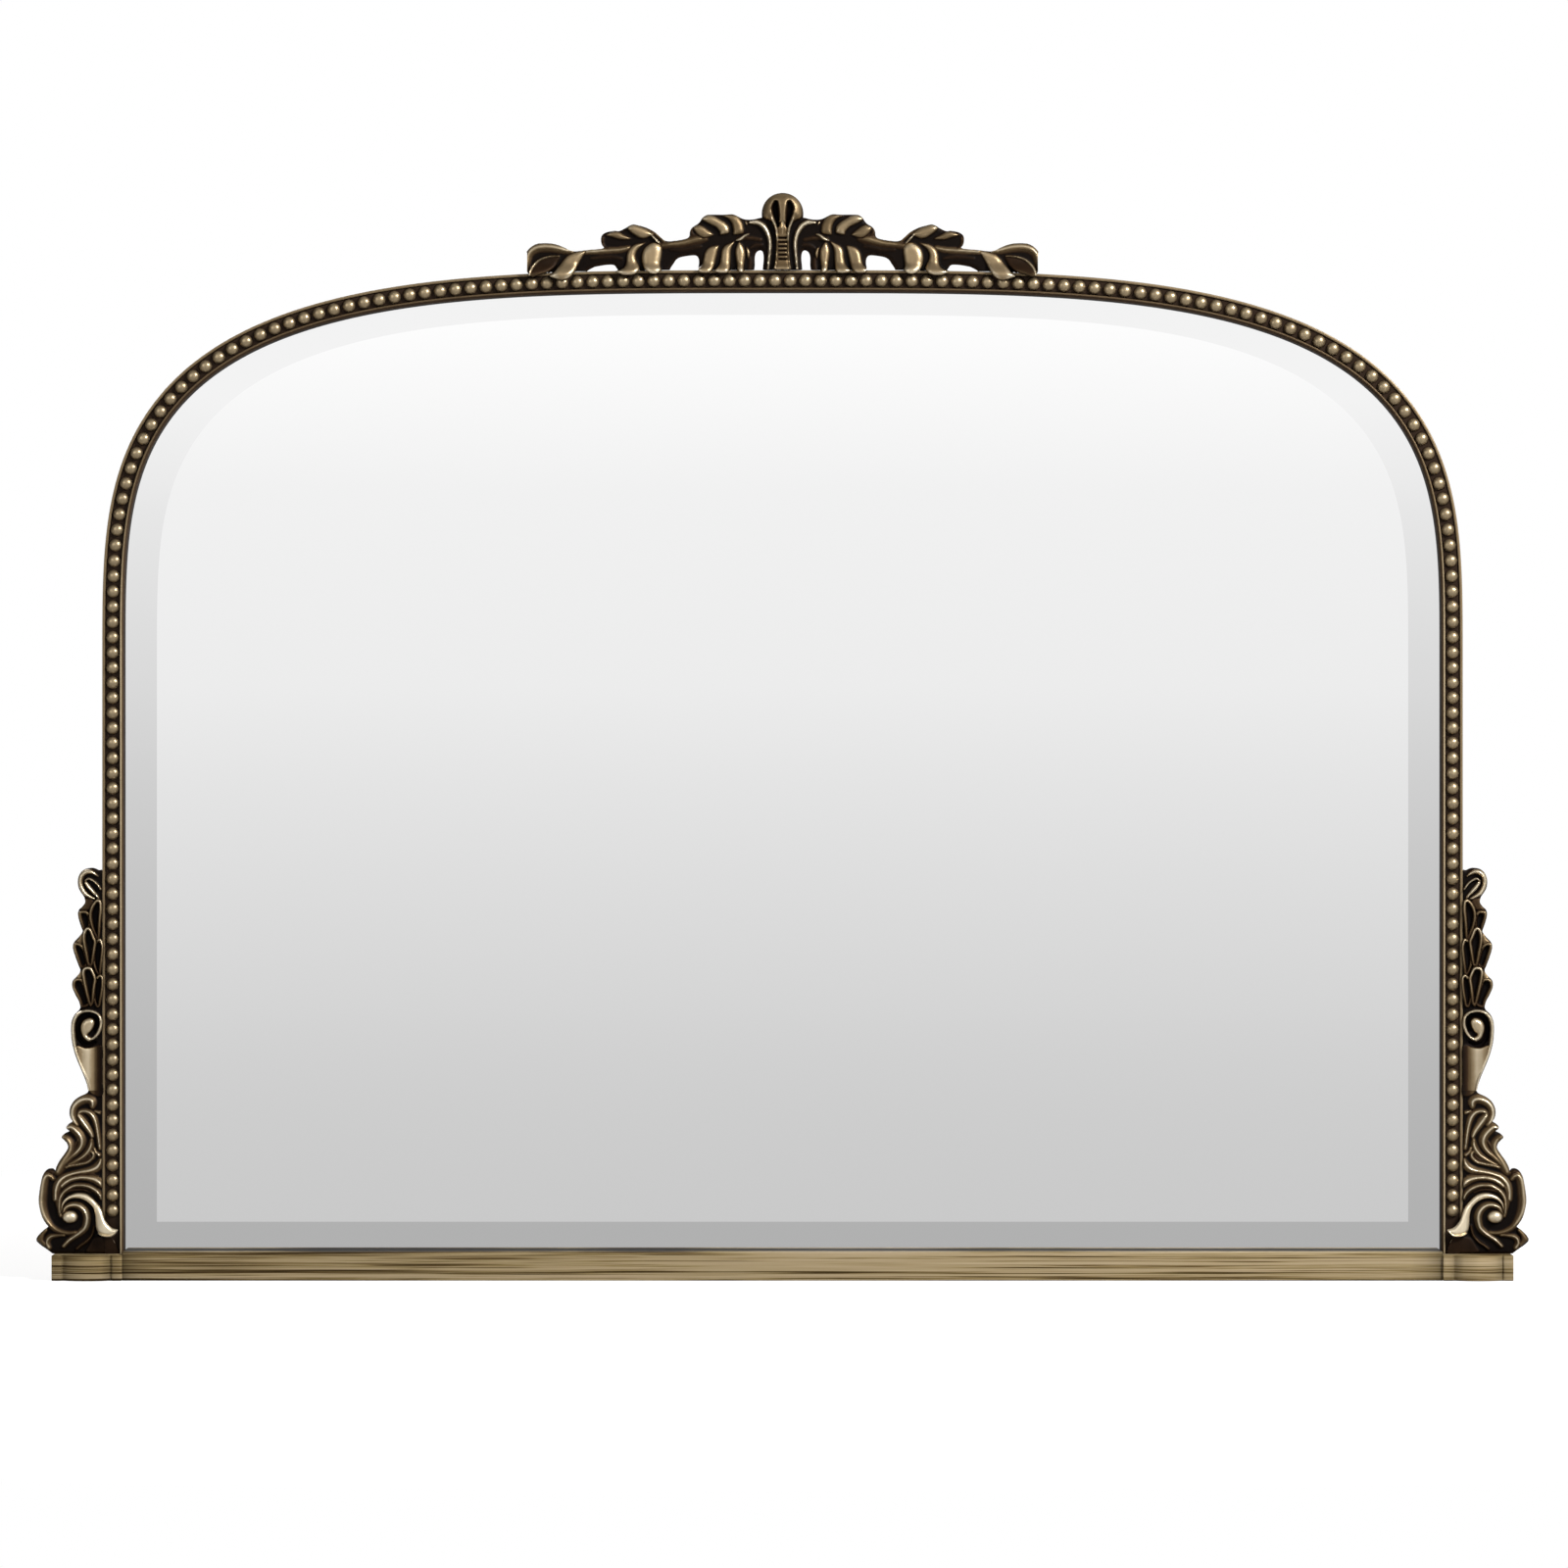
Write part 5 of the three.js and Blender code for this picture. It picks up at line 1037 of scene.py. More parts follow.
# The left side ornaments, in x from the frame's outer edge and z from the top of the plinth block.
seam = 131.5
sideCasting = {
    "pitch": 0.45, "soften": 0.25, "closeCavity": 1.3, "toneClose": 0.12, "groundRise": 1.8, "groundEdge": 2.4,
    "keepBeside": -0.3, "keepOver": -0.9, "lipFrom": -0.25, "channelFrom": 2.4, "backs": (6, -1.8, -5.2),
    "overFrame": (1.4, -6, 1.5),
}
husk = {
    **sideCasting, "node": "husk_drop", "from": seam + 0.15, "to": 320, "groundTone": 0.06, "edgeTone": 0.24,
    "area": (-27, 3, seam, 312), "petalRim": 1.2, "petalGold": 0.88, "petalFloor": 0.8,
    "troughAt": [-20, -13, -6, -2, 1], "trough": [5.2, 3.8, 1.8, 2.2, 3],
    "goldAndShadeAt": [-20, -15, -11, -7, -3.5, 0], "goldAndShade": [0.66, 0.84, 0.9, 0.74, 0.4, 0.12],
    "edge": [ [1, 310.4], [-2.5, 309], [-6, 310.4], [-9, 310.9], [-13.7, 310], [-17.6, 306.4], [-19.5, 300.6],
        [-18.8, 294.3], [-14.6, 287.4], [-13.6, 283.2], [-16, 279.6], [-18.9, 276.8], [-19.2, 272],
        [-17.4, 265], [-15.7, 259.8], [-18.4, 255.6], [-22.6, 251], [-23.4, 246.4], [-21.8, 240], [-18.8, 232],
        [-17.6, 227.4], [-20.4, 223.4], [-23.4, 220.4], [-24, 215.4], [-21.4, 208.6], [-18.8, 204],
        [-17.6, 199.4], [-18.6, 196.4], [-22.2, 192.6], [-24.5, 187], [-25, 180], [-24.4, 171], [-22.6, 163],
        [-20, 155.4], [-17, 148.4], [-14.2, 141.6], [-12, 135.6], [-11.2, seam]],
    "saddles": [
        (3.4, 2.2, 0.42, [[-14, 286.6], [-8, 286], [-6.6, 283], [-9.4, 277.6], [-13.6, 276.4], [-18.4, 277],
          [-15, 281]]),
        (3.4, 2, 0.62, [[-16, 259.6], [-14.6, 252], [-16.6, 248.6], [-22.4, 250.4], [-19, 254.6]]),
        (3.4, 2, 0.66, [[-17, 228.6], [-15.2, 222], [-17.6, 220.6], [-22.6, 220.6], [-19.4, 225]]),
    ],
    "petals": [
        (5, 3.4, 0.7, [[-16.5, 276.7], [-12, 276.4], [-8.6, 272], [-8.4, 266], [-10, 261], [-15.4, 260.2],
          [-17.3, 265], [-19.2, 271], [-19.1, 275.4]]),
        (5.4, 3.2, 0.8, [[-3.8, 286], [-0.4, 284.4], [0.4, 278], [-0.4, 270], [-1, 262], [-1.4, 256],
          [-2.4, 250], [-4.2, 250], [-6.4, 256], [-8.9, 262], [-10.4, 268], [-10.9, 273], [-9.8, 278.6],
          [-7.2, 283.2]]),
        (5.2, 3.2, 0.72, [[-21.4, 251], [-17, 250], [-13.4, 246], [-11.6, 240], [-10.6, 234], [-13, 230.6],
          [-16.9, 229.4], [-19, 232.5], [-21.7, 240], [-23.5, 246], [-23.2, 249.7]]),
        (5.2, 2.8, 0.8, [[-1.3, 254.4], [1, 250.6], [1.7, 246], [0.9, 238], [-0.2, 230], [-1, 224.6],
          [-4, 224.6], [-7, 231], [-8.2, 239], [-8, 246], [-6.4, 251]]),
        (5.9, 3.4, 0.88, [[-10.6, 263.5], [-7.8, 261], [-5.8, 256], [-4.1, 251.5], [-4.8, 246], [-5.9, 239],
          [-7, 233], [-9.5, 230.4], [-11.9, 232], [-13, 236], [-14.4, 243], [-15.8, 250], [-16, 257],
          [-14, 262.1]]),
        (5.2, 3.2, 0.72, [[-22.8, 220.9], [-19.5, 222.4], [-15, 221], [-12.2, 214], [-10.6, 208], [-9.4, 201.5],
          [-12.8, 198.4], [-17.2, 198.2], [-19, 203.5], [-21.5, 208.8], [-24, 214], [-24.1, 218]]),
        (5.2, 2.8, 0.8, [[-1.5, 225.3], [1.3, 223.2], [1.8, 218], [0.9, 210.5], [-0.4, 204], [-1.6, 199],
          [-5, 198.6], [-7.4, 205], [-8, 213], [-7, 219.5], [-4.6, 223.2]]),
        (5.9, 3.4, 0.9, [[-11.5, 231.7], [-7.9, 230.6], [-5.4, 226], [-4.1, 221.3], [-5, 215], [-5.8, 208],
          [-6.5, 202], [-9, 198.9], [-11.2, 201], [-12.9, 207], [-14.6, 214], [-16, 221], [-16.6, 227],
          [-15, 230.6]]),
    ],
    "field": [[-20.4, 168], [-14, 166], [-8, 166.4], [-2.5, 168.6], [0.6, 166], [0.6, 150], [0.6, 138],
        [0.6, 129.5], [-10.4, 129.5], [-12, 138], [-14.6, 144.5], [-17.4, 152], [-19.7, 160]],
    "eye": (6, 4, 0.82, [[-10.5, 190.2], [-7, 189.2], [-5.7, 186.3], [-6.7, 182.3], [-9, 178.9], [-11.2, 176.6],
        [-10, 175.4], [-8.4, 174.4], [-8.4, 171.8], [-11, 170.8], [-14.6, 173.2], [-16.9, 178], [-17.4, 183.5],
        [-15.2, 188]]),
    "channel": (2.6, [[-5.6, 180.2, 1.2], [-3.6, 184, 1.5], [-3.6, 188.4, 1.7], [-6.6, 191.8, 1.9],
        [-11.6, 192.6, 1.9], [-16.4, 190.2, 1.9], [-19.3, 185.6, 1.9], [-19.8, 180, 1.9], [-18.6, 173.6, 1.9],
        [-15.4, 169.4, 1.9], [-10.4, 168.2, 1.6], [-5.4, 170.4, 1.2]]),
    "ridges": [
        (5.8, 0.8, [[-3.4, 304.3, 0.8], [-6.5, 306.7, 1.5], [-10, 307.9, 2.3], [-14, 306.9, 2.5],
          [-16.9, 303.6, 2.5], [-17.4, 299, 2.3], [-16.2, 294.8, 2.3], [-13.4, 290.4, 2.2], [-9.4, 287.6, 1.7],
          [-6, 286, 1]]),
        (6, 0.98, [[-12.9, 298.8, 1.7], [-10.4, 295.4, 2], [-7.5, 292.2, 1.8], [-4.6, 289, 1.3],
          [-2.9, 286.8, 0.8]]),
        (5.6, 0.84, [[-13.4, 300.8, 0.9], [-10.6, 302.2, 1.1], [-6.5, 300.2, 1.1], [-3.3, 297.2, 1],
          [-0.9, 293.6, 0.8]]),
        (6.2, 0.92, [[-10.4, 172.3, 1.2], [-6.3, 174.2, 1.5], [-2.9, 178.4, 1.6], [-0.9, 184, 1.6],
          [-0.9, 188.8, 1.5], [-3, 192.7, 1.4], [-7, 195, 1.4], [-12, 195.7, 1.4], [-17.2, 194.4, 1.5],
          [-21, 191, 1.7], [-23, 186, 1.8], [-23.3, 179.5, 1.8], [-22.6, 172, 1.8], [-21, 164, 1.6],
          [-18.5, 156.3, 1.4], [-15.7, 149, 1.2], [-12.9, 142.3, 1.1], [-11.1, 136, 1], [-10.4, 131, 0.9]]),
    ],
}
acanthus = {
    **sideCasting, "node": "acanthus_scroll", "from": 0.05, "to": seam - 0.15, "groundTone": 0.05,
    "edgeTone": 0.22, "area": (-53.6, 14, 0, seam),
    "stub": [[-10.6, 133], [0.6, 133], [0.6, 128], [-3, 126.6], [-6, 127.6], [-9, 129.4]],
    "stubRise": 2.2, "stubGoldAt": [-12, -7, -3, 0], "stubGold": [0.6, 0.5, 0.3, 0.1],
    "edge": [ [-11.2, seam], [-12.4, 129.4], [-18.6, 126.4], [-22.8, 123], [-25.7, 118], [-26.4, 113],
        [-25.3, 109], [-23.8, 106.8], [-26.4, 105], [-28.7, 102.6], [-28.2, 100.2], [-26.6, 98.8], [-30, 97],
        [-32.6, 94], [-30.6, 91.6], [-28.2, 88.6], [-27.6, 85], [-30.2, 80.6], [-34.2, 75], [-37, 69.6],
        [-37.8, 66.4], [-40.4, 68.4], [-44.4, 67.8], [-47.6, 63.4], [-49.2, 57], [-50.4, 50], [-51, 42.6],
        [-49.8, 35], [-48, 28.8], [-44.8, 23.6], [-43.6, 21.8], [-47, 19], [-51.4, 14.6], [-53, 10.8],
        [-50.6, 7.8], [-45.6, 4.2], [-40.8, 0.6], [-40.6, 0]],
    "fills": [
        (3.6, 0.42, [[-33, 60, 1.6], [-26, 63, 1.7], [-17, 64.2, 1.7], [-9, 64.2, 1.4], [-3, 62.6, 0.9]]),
        (4.4, 0.46, [[-31, 57, 1.6], [-34.6, 52.6, 2.4], [-36.2, 46, 2.8], [-35.6, 39, 2.4], [-34.2, 33, 1.5]]),
        (3.4, 0.34, [[-33, 45.6, 1], [-28.6, 49.4, 1.4], [-22, 51.3, 1.5], [-15, 51.3, 1.4], [-9, 49.2, 1]]),
        (3.6, 0.36, [[-12, 79.6, 1.3], [-9.6, 78.6, 1.9], [-12.6, 76, 1.6], [-17, 74.8, 1.1]]),
        (3.4, 0.4, [[-20, 91, 1.2], [-21.6, 87.6, 1.8], [-22.6, 84, 1.6]]),
        (3.6, 0.3, [[-44.6, 65.6, 1.3], [-41, 66, 1.9], [-39.4, 62.6, 1.3]]),
        (3.6, 0.4, [[-17.6, 113.2, 0.9], [-14.4, 110.6, 1.1], [-11.4, 107, 0.9]]),
    ],
    "under": (3.2, 2.4, 0.26, [[-13, 1], [-10.5, 7.4], [-7, 12.8], [-1, 14.6], [7.2, 14], [10, 10], [12, 5],
        [12.8, 0.6], [0, 0.4]]),
    "foot": (5, 2.8, 0.46, [[-44.8, 20.9], [-48.6, 17.7], [-52.2, 13.4], [-52.6, 10.7], [-50, 8.2], [-46, 5.2],
        [-44, 8], [-46.2, 11], [-45.8, 15], [-43.4, 18.6]]),
    "ridges": [
        (5.8, 0.84, [[-7.7, 118.6, 1.2], [-7.6, 122.3, 2.1], [-10.4, 124.5, 2.2], [-15.5, 124.2, 2.3],
          [-20.2, 121.6, 2.2], [-23.3, 117.5, 2.1], [-23.9, 112.5, 2], [-22.6, 107.8, 1.7],
          [-20.2, 103.8, 1.1]]),
        (5.4, 0.86, [[-19.2, 112.2, 0.8], [-17.5, 114.4, 1.1], [-13, 114.8, 1.2], [-9, 113, 1.4],
          [-6.3, 109.3, 1.5], [-4.6, 104, 1.3], [-3.4, 97.5, 1.2], [-2.5, 91, 1.1], [-1.8, 85, 0.9]]),
        (6, 1, [[-18.8, 111.4, 1], [-17.2, 109.2, 1.5], [-14.4, 105.4, 1.7], [-11.4, 101.2, 1.5],
          [-9, 97.4, 1.2], [-7.9, 94.6, 0.8]]),
        (4.4, 0.84, [[-5.9, 114.8, 0.5], [-2.4, 113.7, 0.9]]),
        (5.8, 0.82, [[-27.7, 101.6, 1.3], [-24.5, 101.9, 2], [-20.5, 98.9, 2.3], [-17.4, 95, 2.3],
          [-16.1, 90.5, 2.1], [-17.3, 86, 1.7], [-20.4, 82, 1.4], [-24.5, 78.4, 1.2], [-28, 75, 1.1],
          [-31, 72, 1]]),
        (5.4, 0.7, [[-31.4, 94.2, 1], [-28.4, 92.8, 1.7], [-25.9, 89.4, 2.2], [-25.3, 85, 2.5],
          [-27.1, 80.5, 2.8], [-30.2, 76, 3], [-33.2, 71, 2.9], [-35.6, 66.4, 2.3]]),
        (5.2, 0.78, [[-8.6, 91.6, 0.8], [-8.8, 88, 1.5], [-10.1, 84.3, 1.8], [-13, 80.4, 1.5], [-17, 77.1, 1.2],
          [-22, 74.2, 1], [-27, 71.6, 0.8]]),
        (4.8, 0.8, [[-9.2, 82.8, 0.6], [-7, 80.8, 1], [-7.4, 77.6, 0.9], [-11.6, 73.9, 0.8], [-18, 72.2, 0.8],
          [-25, 71, 0.8], [-29, 69.6, 0.7]]),
        (4.6, 0.84, [[-6.2, 84.8, 0.6], [-5, 82, 0.8], [-2.3, 79.7, 1]]),
        (5.8, 0.92, [[-1.2, 75.4, 0.9], [-2.2, 72.3, 1.7], [-5.2, 69, 2], [-10.4, 67, 1.7], [-17, 66, 1.3],
          [-24, 64.4, 1.2], [-29.5, 62.4, 1.4], [-33.6, 59.2, 1.7], [-36.2, 55, 1.8], [-37.4, 49.5, 1.5],
          [-37.4, 44, 1.3]]),
        (6, 0.96, [[0, 54.8, 1], [-2.4, 57.9, 1.9], [-6.5, 60.1, 1.8], [-12, 61.2, 1.4], [-18, 61.3, 1.2],
          [-24, 60.2, 1.2], [-29, 57.7, 1.2], [-32.6, 54.6, 1]]),
        (5.4, 0.8, [[-0.6, 44.6, 0.9], [-2, 48, 1.3], [-5.5, 51.5, 1.4], [-10.5, 54.1, 1.2], [-16, 55.2, 1.1],
          [-22, 54.9, 1.1], [-27.5, 52.4, 1.1], [-31.4, 48.9, 1.2], [-33.8, 44.6, 1.2], [-34.4, 39.4, 1.2],
          [-34, 34, 1], [-33.2, 30.4, 0.8]]),
        (6.2, 0.9, [[-31, 33.2, 0.8], [-29.6, 36.8, 1.1], [-26, 38.9, 1.3], [-21.5, 39.4, 1.5],
          [-17, 37.9, 1.8], [-13.6, 34.4, 1.9], [-12.1, 30, 1.9], [-12.4, 25, 1.8], [-14, 20.6, 1.6],
          [-17.2, 17.4, 1.5], [-22, 14, 1.2], [-27, 10.4, 1], [-31, 6.2, 0.8]]),
        (5.6, 0.74, [[-39.4, 60.4, 1], [-41.6, 62.6, 1.7], [-44.5, 62.9, 2.2], [-46.7, 60, 2.5],
          [-47.8, 55, 2.5], [-48.4, 49, 2.6], [-48.9, 42, 2.7], [-47.8, 35, 2.5], [-45.4, 29, 2.1],
          [-42.2, 24.2, 1.6], [-39.4, 21.1, 1.4], [-35.5, 18.7, 1.3], [-31, 17.2, 1.1], [-26, 16.5, 1],
          [-21.6, 17.2, 0.8]]),
        (4.6, 0.4, [[-6.2, 22, 0.8], [-8, 15.4, 0.9], [-12, 10.4, 0.9], [-17, 6.8, 0.8], [-20.4, 4, 0.7]]),
        (5.4, 0.76, [[-30.6, 15, 0.6], [-36, 14.7, 0.8], [-41, 13.9, 1.2], [-43.9, 11.4, 1.6], [-44.2, 8, 1.6],
          [-42.4, 5, 1.1]]),
        (4.4, 0.95, [[7.4, 13.8, 0.6], [9.8, 10.4, 0.8], [11.6, 6.4, 0.7], [12.6, 2.4, 0.6]]),
    ],
    "tail": (6.4, 3.4, 1, [[-33.3, 31.6], [-33.2, 38], [-31.2, 43.2], [-27, 47], [-20, 49.4], [-13, 48.7],
        [-8, 45.7], [-4.3, 42], [-0.8, 37.6], [1.2, 33], [2.7, 28.6], [5.2, 24.6], [8.6, 21.5], [13, 19.8],
        [12, 17], [9.1, 14.6], [5, 14], [0.4, 15], [-3.2, 17.2], [-4.9, 21], [-5.4, 26], [-5.7, 31],
        [-7.2, 36.4], [-11.1, 40.8], [-16.6, 43.7], [-22, 44.5], [-27, 43], [-30.6, 39.6], [-32, 35.6]]),
    "tailRise": (2.6, [-12, 2]),
    "lip": (10, 1, [[-3, 16.6, 0.6], [0.5, 14.9, 0.9], [5, 14.3, 1], [9, 15.3, 1], [11.6, 17.8, 0.9],
        [13, 19.6, 0.6]]),
    "ball": (-25.8, 29.7, 6.6, 5.4, 6.6, 0.92),
}


def sideOutline(look):
    edge = spline(look["edge"], 6)
    return np.vstack([edge, [(16, edge[-1][1])], [(16, edge[0][1])]])


def overFrame(relief, x):
    # What is laid on the plate steps forward where it crosses onto the moulding.
    rise, low, high = sideCasting["overFrame"]
    relief["height"] += relief["laid"] * rise * rampUp(x, low, high)
    return relief


def huskRelief(x, z):
    h = husk
    relief = startRelief(x, z, sideOutline(h), [], h)
    for rise, edge, tone, places in h["saddles"]:
        blade(relief, x, z, rise, edge, tone, places)
    for rise, rim, tone, places in h["petals"]:
        dish(relief, x, z, rise, rim * h["petalRim"], tone * h["petalGold"], h["petalFloor"], places)
    depth = depthInside(x, z, closedLine(h["field"]))
    # Across the field the tone is painted shade and highlight: brightest in the middle, dark towards the frame.
    trough, goldAndShade = np.interp(x, h["troughAt"], h["trough"]), np.interp(x, h["goldAndShadeAt"], h["goldAndShade"])
    lay(relief, depth > 0, trough * np.clip(depth + 0.6, 0, 1), goldAndShade * np.clip(0.3 + depth / 1.5, 0, 1))
    blade(relief, x, z, *h["eye"])
    plainRidges(relief, x, z, h["ridges"])
    groove(relief, x, z, *h["channel"])
    return overFrame(relief, x)


def acanthusRelief(x, z):
    a = acanthus
    relief = startRelief(x, z, sideOutline(a), [], a)
    goldAndShade = np.interp(x, a["stubGoldAt"], a["stubGold"])
    lay(relief, depthInside(x, z, closedLine(a["stub"])) > 0, a["stubRise"], goldAndShade)
    blade(relief, x, z, *a["under"])
    plainRidges(relief, x, z, a["fills"])
    blade(relief, x, z, *a["foot"])
    ridges(relief, x, z, a["ridges"])
    before = relief["laid"].copy()
    relief["laid"][:] = False
    blade(relief, x, z, *a["tail"])
    rise, across = a["tailRise"]
    relief["height"] += relief["laid"] * rise * np.interp(x, across, [0, 1])
    relief["laid"] |= before
    ridge(relief, x, z, *a["lip"])
    ballX, ballZ, half, tall, rise, tone = a["ball"]
    ball = np.sqrt(np.clip(1 - ((x - ballX) / half) ** 2 - ((z - ballZ) / tall) ** 2, 0, 1))
    lay(relief, ball > 0, 1 + rise * ball, tone * (0.3 + 0.7 * np.clip(ball * 1.4, 0, 1)))
    return overFrame(relief, x)


def makeSideCasting(name, look, relief):
    plate = sideOutline(look)

    def keep(x, z, laid):
        beside = inside(x, z, plate) & (x < look["keepBeside"])
        return (beside | (laid & (x >= look["keepOver"]))) & (z > look["from"]) & (z < look["to"])

    def back(x, z):
        plateBack, lipBack, channelBack = look["backs"]
        return np.where(x < look["lipFrom"], plateBack, np.where(x > look["channelFrom"], channelBack, lipBack))

    return carve(name, look, np.array([-outerHalfWidth, plinthTop]), relief, keep, back, [plate])


for kind, look, relief in (("huskDrop", husk, huskRelief), ("acanthusScroll", acanthus, acanthusRelief)):
    leftPiece = makeSideCasting(f"{kind}_left", look, relief)
    dress(leftPiece, "mirror", castGilt, [f"{look['node']}_left"], smoothAngle=55)
    rightPiece = otherSide(leftPiece, f"{kind}_right")
    dress(rightPiece, "mirror", castGilt, [f"{look['node']}_right"], smoothAngle=55)
print("castings done")

hardware = {
    "board": {"out": 14, "front": 15, "back": 24, "arris": 0.7},
    "bumper": {"radius": 9, "sides": 48, "front": 24, "back": 31, "round": 1.6, "roundSteps": 4,
               "roundFrom": 60, "rim": 2, "slope": 0.6, "dimple": 0.6},
    "plate": {"halfWidth": 5.5, "thickness": 1.5, "drop": 33, "inner": 1.8, "outer": 3.3, "across": 15,
              "rollFrom": 170, "rollTo": -110, "rollSteps": (24, 22)},
    "ring": {"wire": 1.5, "halfWidth": 11.5, "drop": 17, "corner": 3, "around": 12, "belly": 0.6,
             "shoulder": 0.75, "steps": (6, 8, 16)},
    "screw": {"grid": 20, "recess": (0.13, 0.56, 0.5), "recessWall": 0.09, "recessEnd": 0.2, "dome": 0.75,
              "point": 3, "tip": 0.1, "board": (2.2, 1.75), "hanger": (1.6, 1.5)},
}


def makeBoard():
    b = hardware["board"]
    foot = boxOf("backing_board")[0][2]
    rows = [[(x, y, z) for x, z in glassOutline(b["out"] - cut, foot + cut)]
            for y, cut in ((b["front"], b["arris"]), (b["front"] + b["arris"], 0), (b["back"] - b["arris"], 0),
                           (b["back"], b["arris"]))]
    return skin("backBoard", rows)


def makeBumper(node):
    # A drum with a rounded rim and a shallow dimple, as moulded rubber feet have.
    b = hardware["bumper"]
    low, high = boxOf(node)
    chooseOnly()
    bpy.ops.mesh.primitive_cylinder_add(vertices=b["sides"], radius=b["radius"] * mm,
                                        depth=(b["back"] - b["front"]) * mm, rotation=(math.pi / 2, 0, 0))
    drum = startPiece("bumper")
    bpy.ops.object.transform_apply(location=True, rotation=True, scale=True)
    roundEdges(drum, "moulded rim", b["round"], b["roundSteps"], b["roundFrom"])
    faces = np.array([face.normal.y > 0.9 and len(face.vertices) > 8 for face in drum.data.polygons])
    drum.data.polygons.foreach_set("select", faces)
    active("EDIT")
    bpy.ops.mesh.select_mode(type="FACE")
    bpy.ops.mesh.inset(thickness=b["rim"] * mm)
    bpy.ops.mesh.inset(thickness=b["slope"] * mm, depth=-b["dimple"] * mm)
    bpy.ops.mesh.select_mode(type="VERT")
    active()
    movePoints(drum, points(drum) + np.array([(low[0] + high[0]) / 2, (b["front"] + b["back"]) / 2,
                                              (low[2] + high[2]) / 2]) * mm)
    outwards()
    return drum


def makePlate(node, hinge):
    # Sheet steel rolled round the ring's bar, with a round lower end.
    p = hardware["plate"]
    x, y, z = hinge
    back, centre = y - p["outer"], p["outer"]
    rows = []
    rolls = ((p["outer"], p["rollFrom"], p["rollTo"], p["rollSteps"][0]),
             (p["inner"], p["rollTo"], 180, p["rollSteps"][1]))
    for share in np.sin(np.linspace(-math.pi / 2, math.pi / 2, p["across"])) * 0.999:
        low = -p["drop"] + p["halfWidth"] * (1 - math.sqrt(1 - share * share))
        section = [(0, low), (0, 0)]
        section += [(centre + radius * math.cos(a), radius * math.sin(a))
                    for radius, start, end, steps in rolls for a in np.radians(np.linspace(start, end, steps))]
        section += [(p["thickness"], low)]
        rows.append([(x + share * p["halfWidth"], back + out, z + up) for out, up in section])
    return skin(node, rows)


def makeRing(node, hinge):
    # Round wire bent into a D: a straight bar through the roll and a bow below it.
    r = hardware["ring"]
    x, y, z = hinge
    half, corner, low, belly = r["halfWidth"], r["corner"], r["drop"], r["halfWidth"] * r["belly"]
    shoulder, (bar, bend, side) = low * r["shoulder"], r["steps"]

    def bow(p, count):
        t = np.arange(count)[:, None] / count
        p = np.array(p, float)
        if len(p) == 2:
            return p[0] + (p[1] - p[0]) * t
        if len(p) == 3:
            return p[0] * (1 - t) ** 2 + 2 * p[1] * t * (1 - t) + p[2] * t ** 2
        return p[0] * (1 - t) ** 3 + 3 * p[1] * t * (1 - t) ** 2 + 3 * p[2] * t ** 2 * (1 - t) + p[3] * t ** 3

    path = np.vstack([
        bow([(-half + corner, 0), (half - corner, 0)], bar),
        bow([(half - corner, 0), (half, 0), (half, -corner)], bend),
        bow([(half, -corner), (half, -shoulder), (belly, -low), (0, -low)], side),
        bow([(0, -low), (-belly, -low), (-half, -shoulder), (-half, -corner)], side),
        bow([(-half, -corner), (-half, 0), (-half + corner, 0)], bend)])
    heading = np.roll(path, -1, axis=0) - np.roll(path, 1, axis=0)
    heading /= np.hypot(heading[:, 0], heading[:, 1])[:, None]
    angles = 2 * math.pi * np.arange(r["around"]) / r["around"]
    rows = [[(x + place[0] - along[1] * r["wire"] * math.cos(a), y + r["wire"] * math.sin(a),
              z + place[1] + along[0] * r["wire"] * math.cos(a)) for a in angles]
            for place, along in zip(path, heading)]
    return skin(node, rows, joined=True)


def makeScrew(node, head, shank):
    # A grid drawn round into a pan head, pressed with a cross, then drawn out into the shank and its point.
    s = hardware["screw"]
    low, high = boxOf(node)
    radius, top, tip = (high[0] - low[0]) / 2, high[1], low[1]
    centre = ((low[0] + high[0]) / 2, (low[2] + high[2]) / 2)
    chooseOnly()
    bpy.ops.mesh.primitive_grid_add(x_subdivisions=s["grid"], y_subdivisions=s["grid"], size=2)
    screw = startPiece(node)
    u, v = points(screw)[:, 0], points(screw)[:, 1]
    x, z = u * np.sqrt(1 - v * v / 2), v * np.sqrt(1 - u * u / 2)
    away = np.hypot(x, z)
    wide, reach, deep = s["recess"]
    slots = 1 - rampUp(np.minimum(np.abs(x), np.abs(z)), wide, wide + s["recessWall"])
    cross = slots * (1 - rampUp(away, reach - s["recessEnd"], reach))
    y = top - head * (s["dome"] * away ** 4 + deep * cross)
    movePoints(screw, np.column_stack([centre[0] + x * radius, y, centre[1] + z * radius]) * mm)
    rims = ((1, top - head), (shank / radius, top - head), (shank / radius, tip + s["point"]), (s["tip"], tip))
    active("EDIT")
    bpy.ops.mesh.select_all(action="DESELECT")
    bpy.ops.mesh.select_non_manifold()
    active()
    for share, y in rims:
        active("EDIT")
        bpy.ops.mesh.extrude_edges_move(TRANSFORM_OT_translate={"value": (0, -0.0001, 0)})
        active()
        rim = chosen(screw)
        co = points(screw) / mm
        spokes = co[rim][:, [0, 2]] - centre
        spokes *= (radius * share / np.hypot(spokes[:, 0], spokes[:, 1]))[:, None]
        co[rim] = np.column_stack([centre[0] + spokes[:, 0], np.full(rim.sum(), y), centre[1] + spokes[:, 1]])
        movePoints(screw, co * mm)
    active("EDIT")
    bpy.ops.mesh.fill_holes(sides=0)
    active()
    outwards()
    return screw


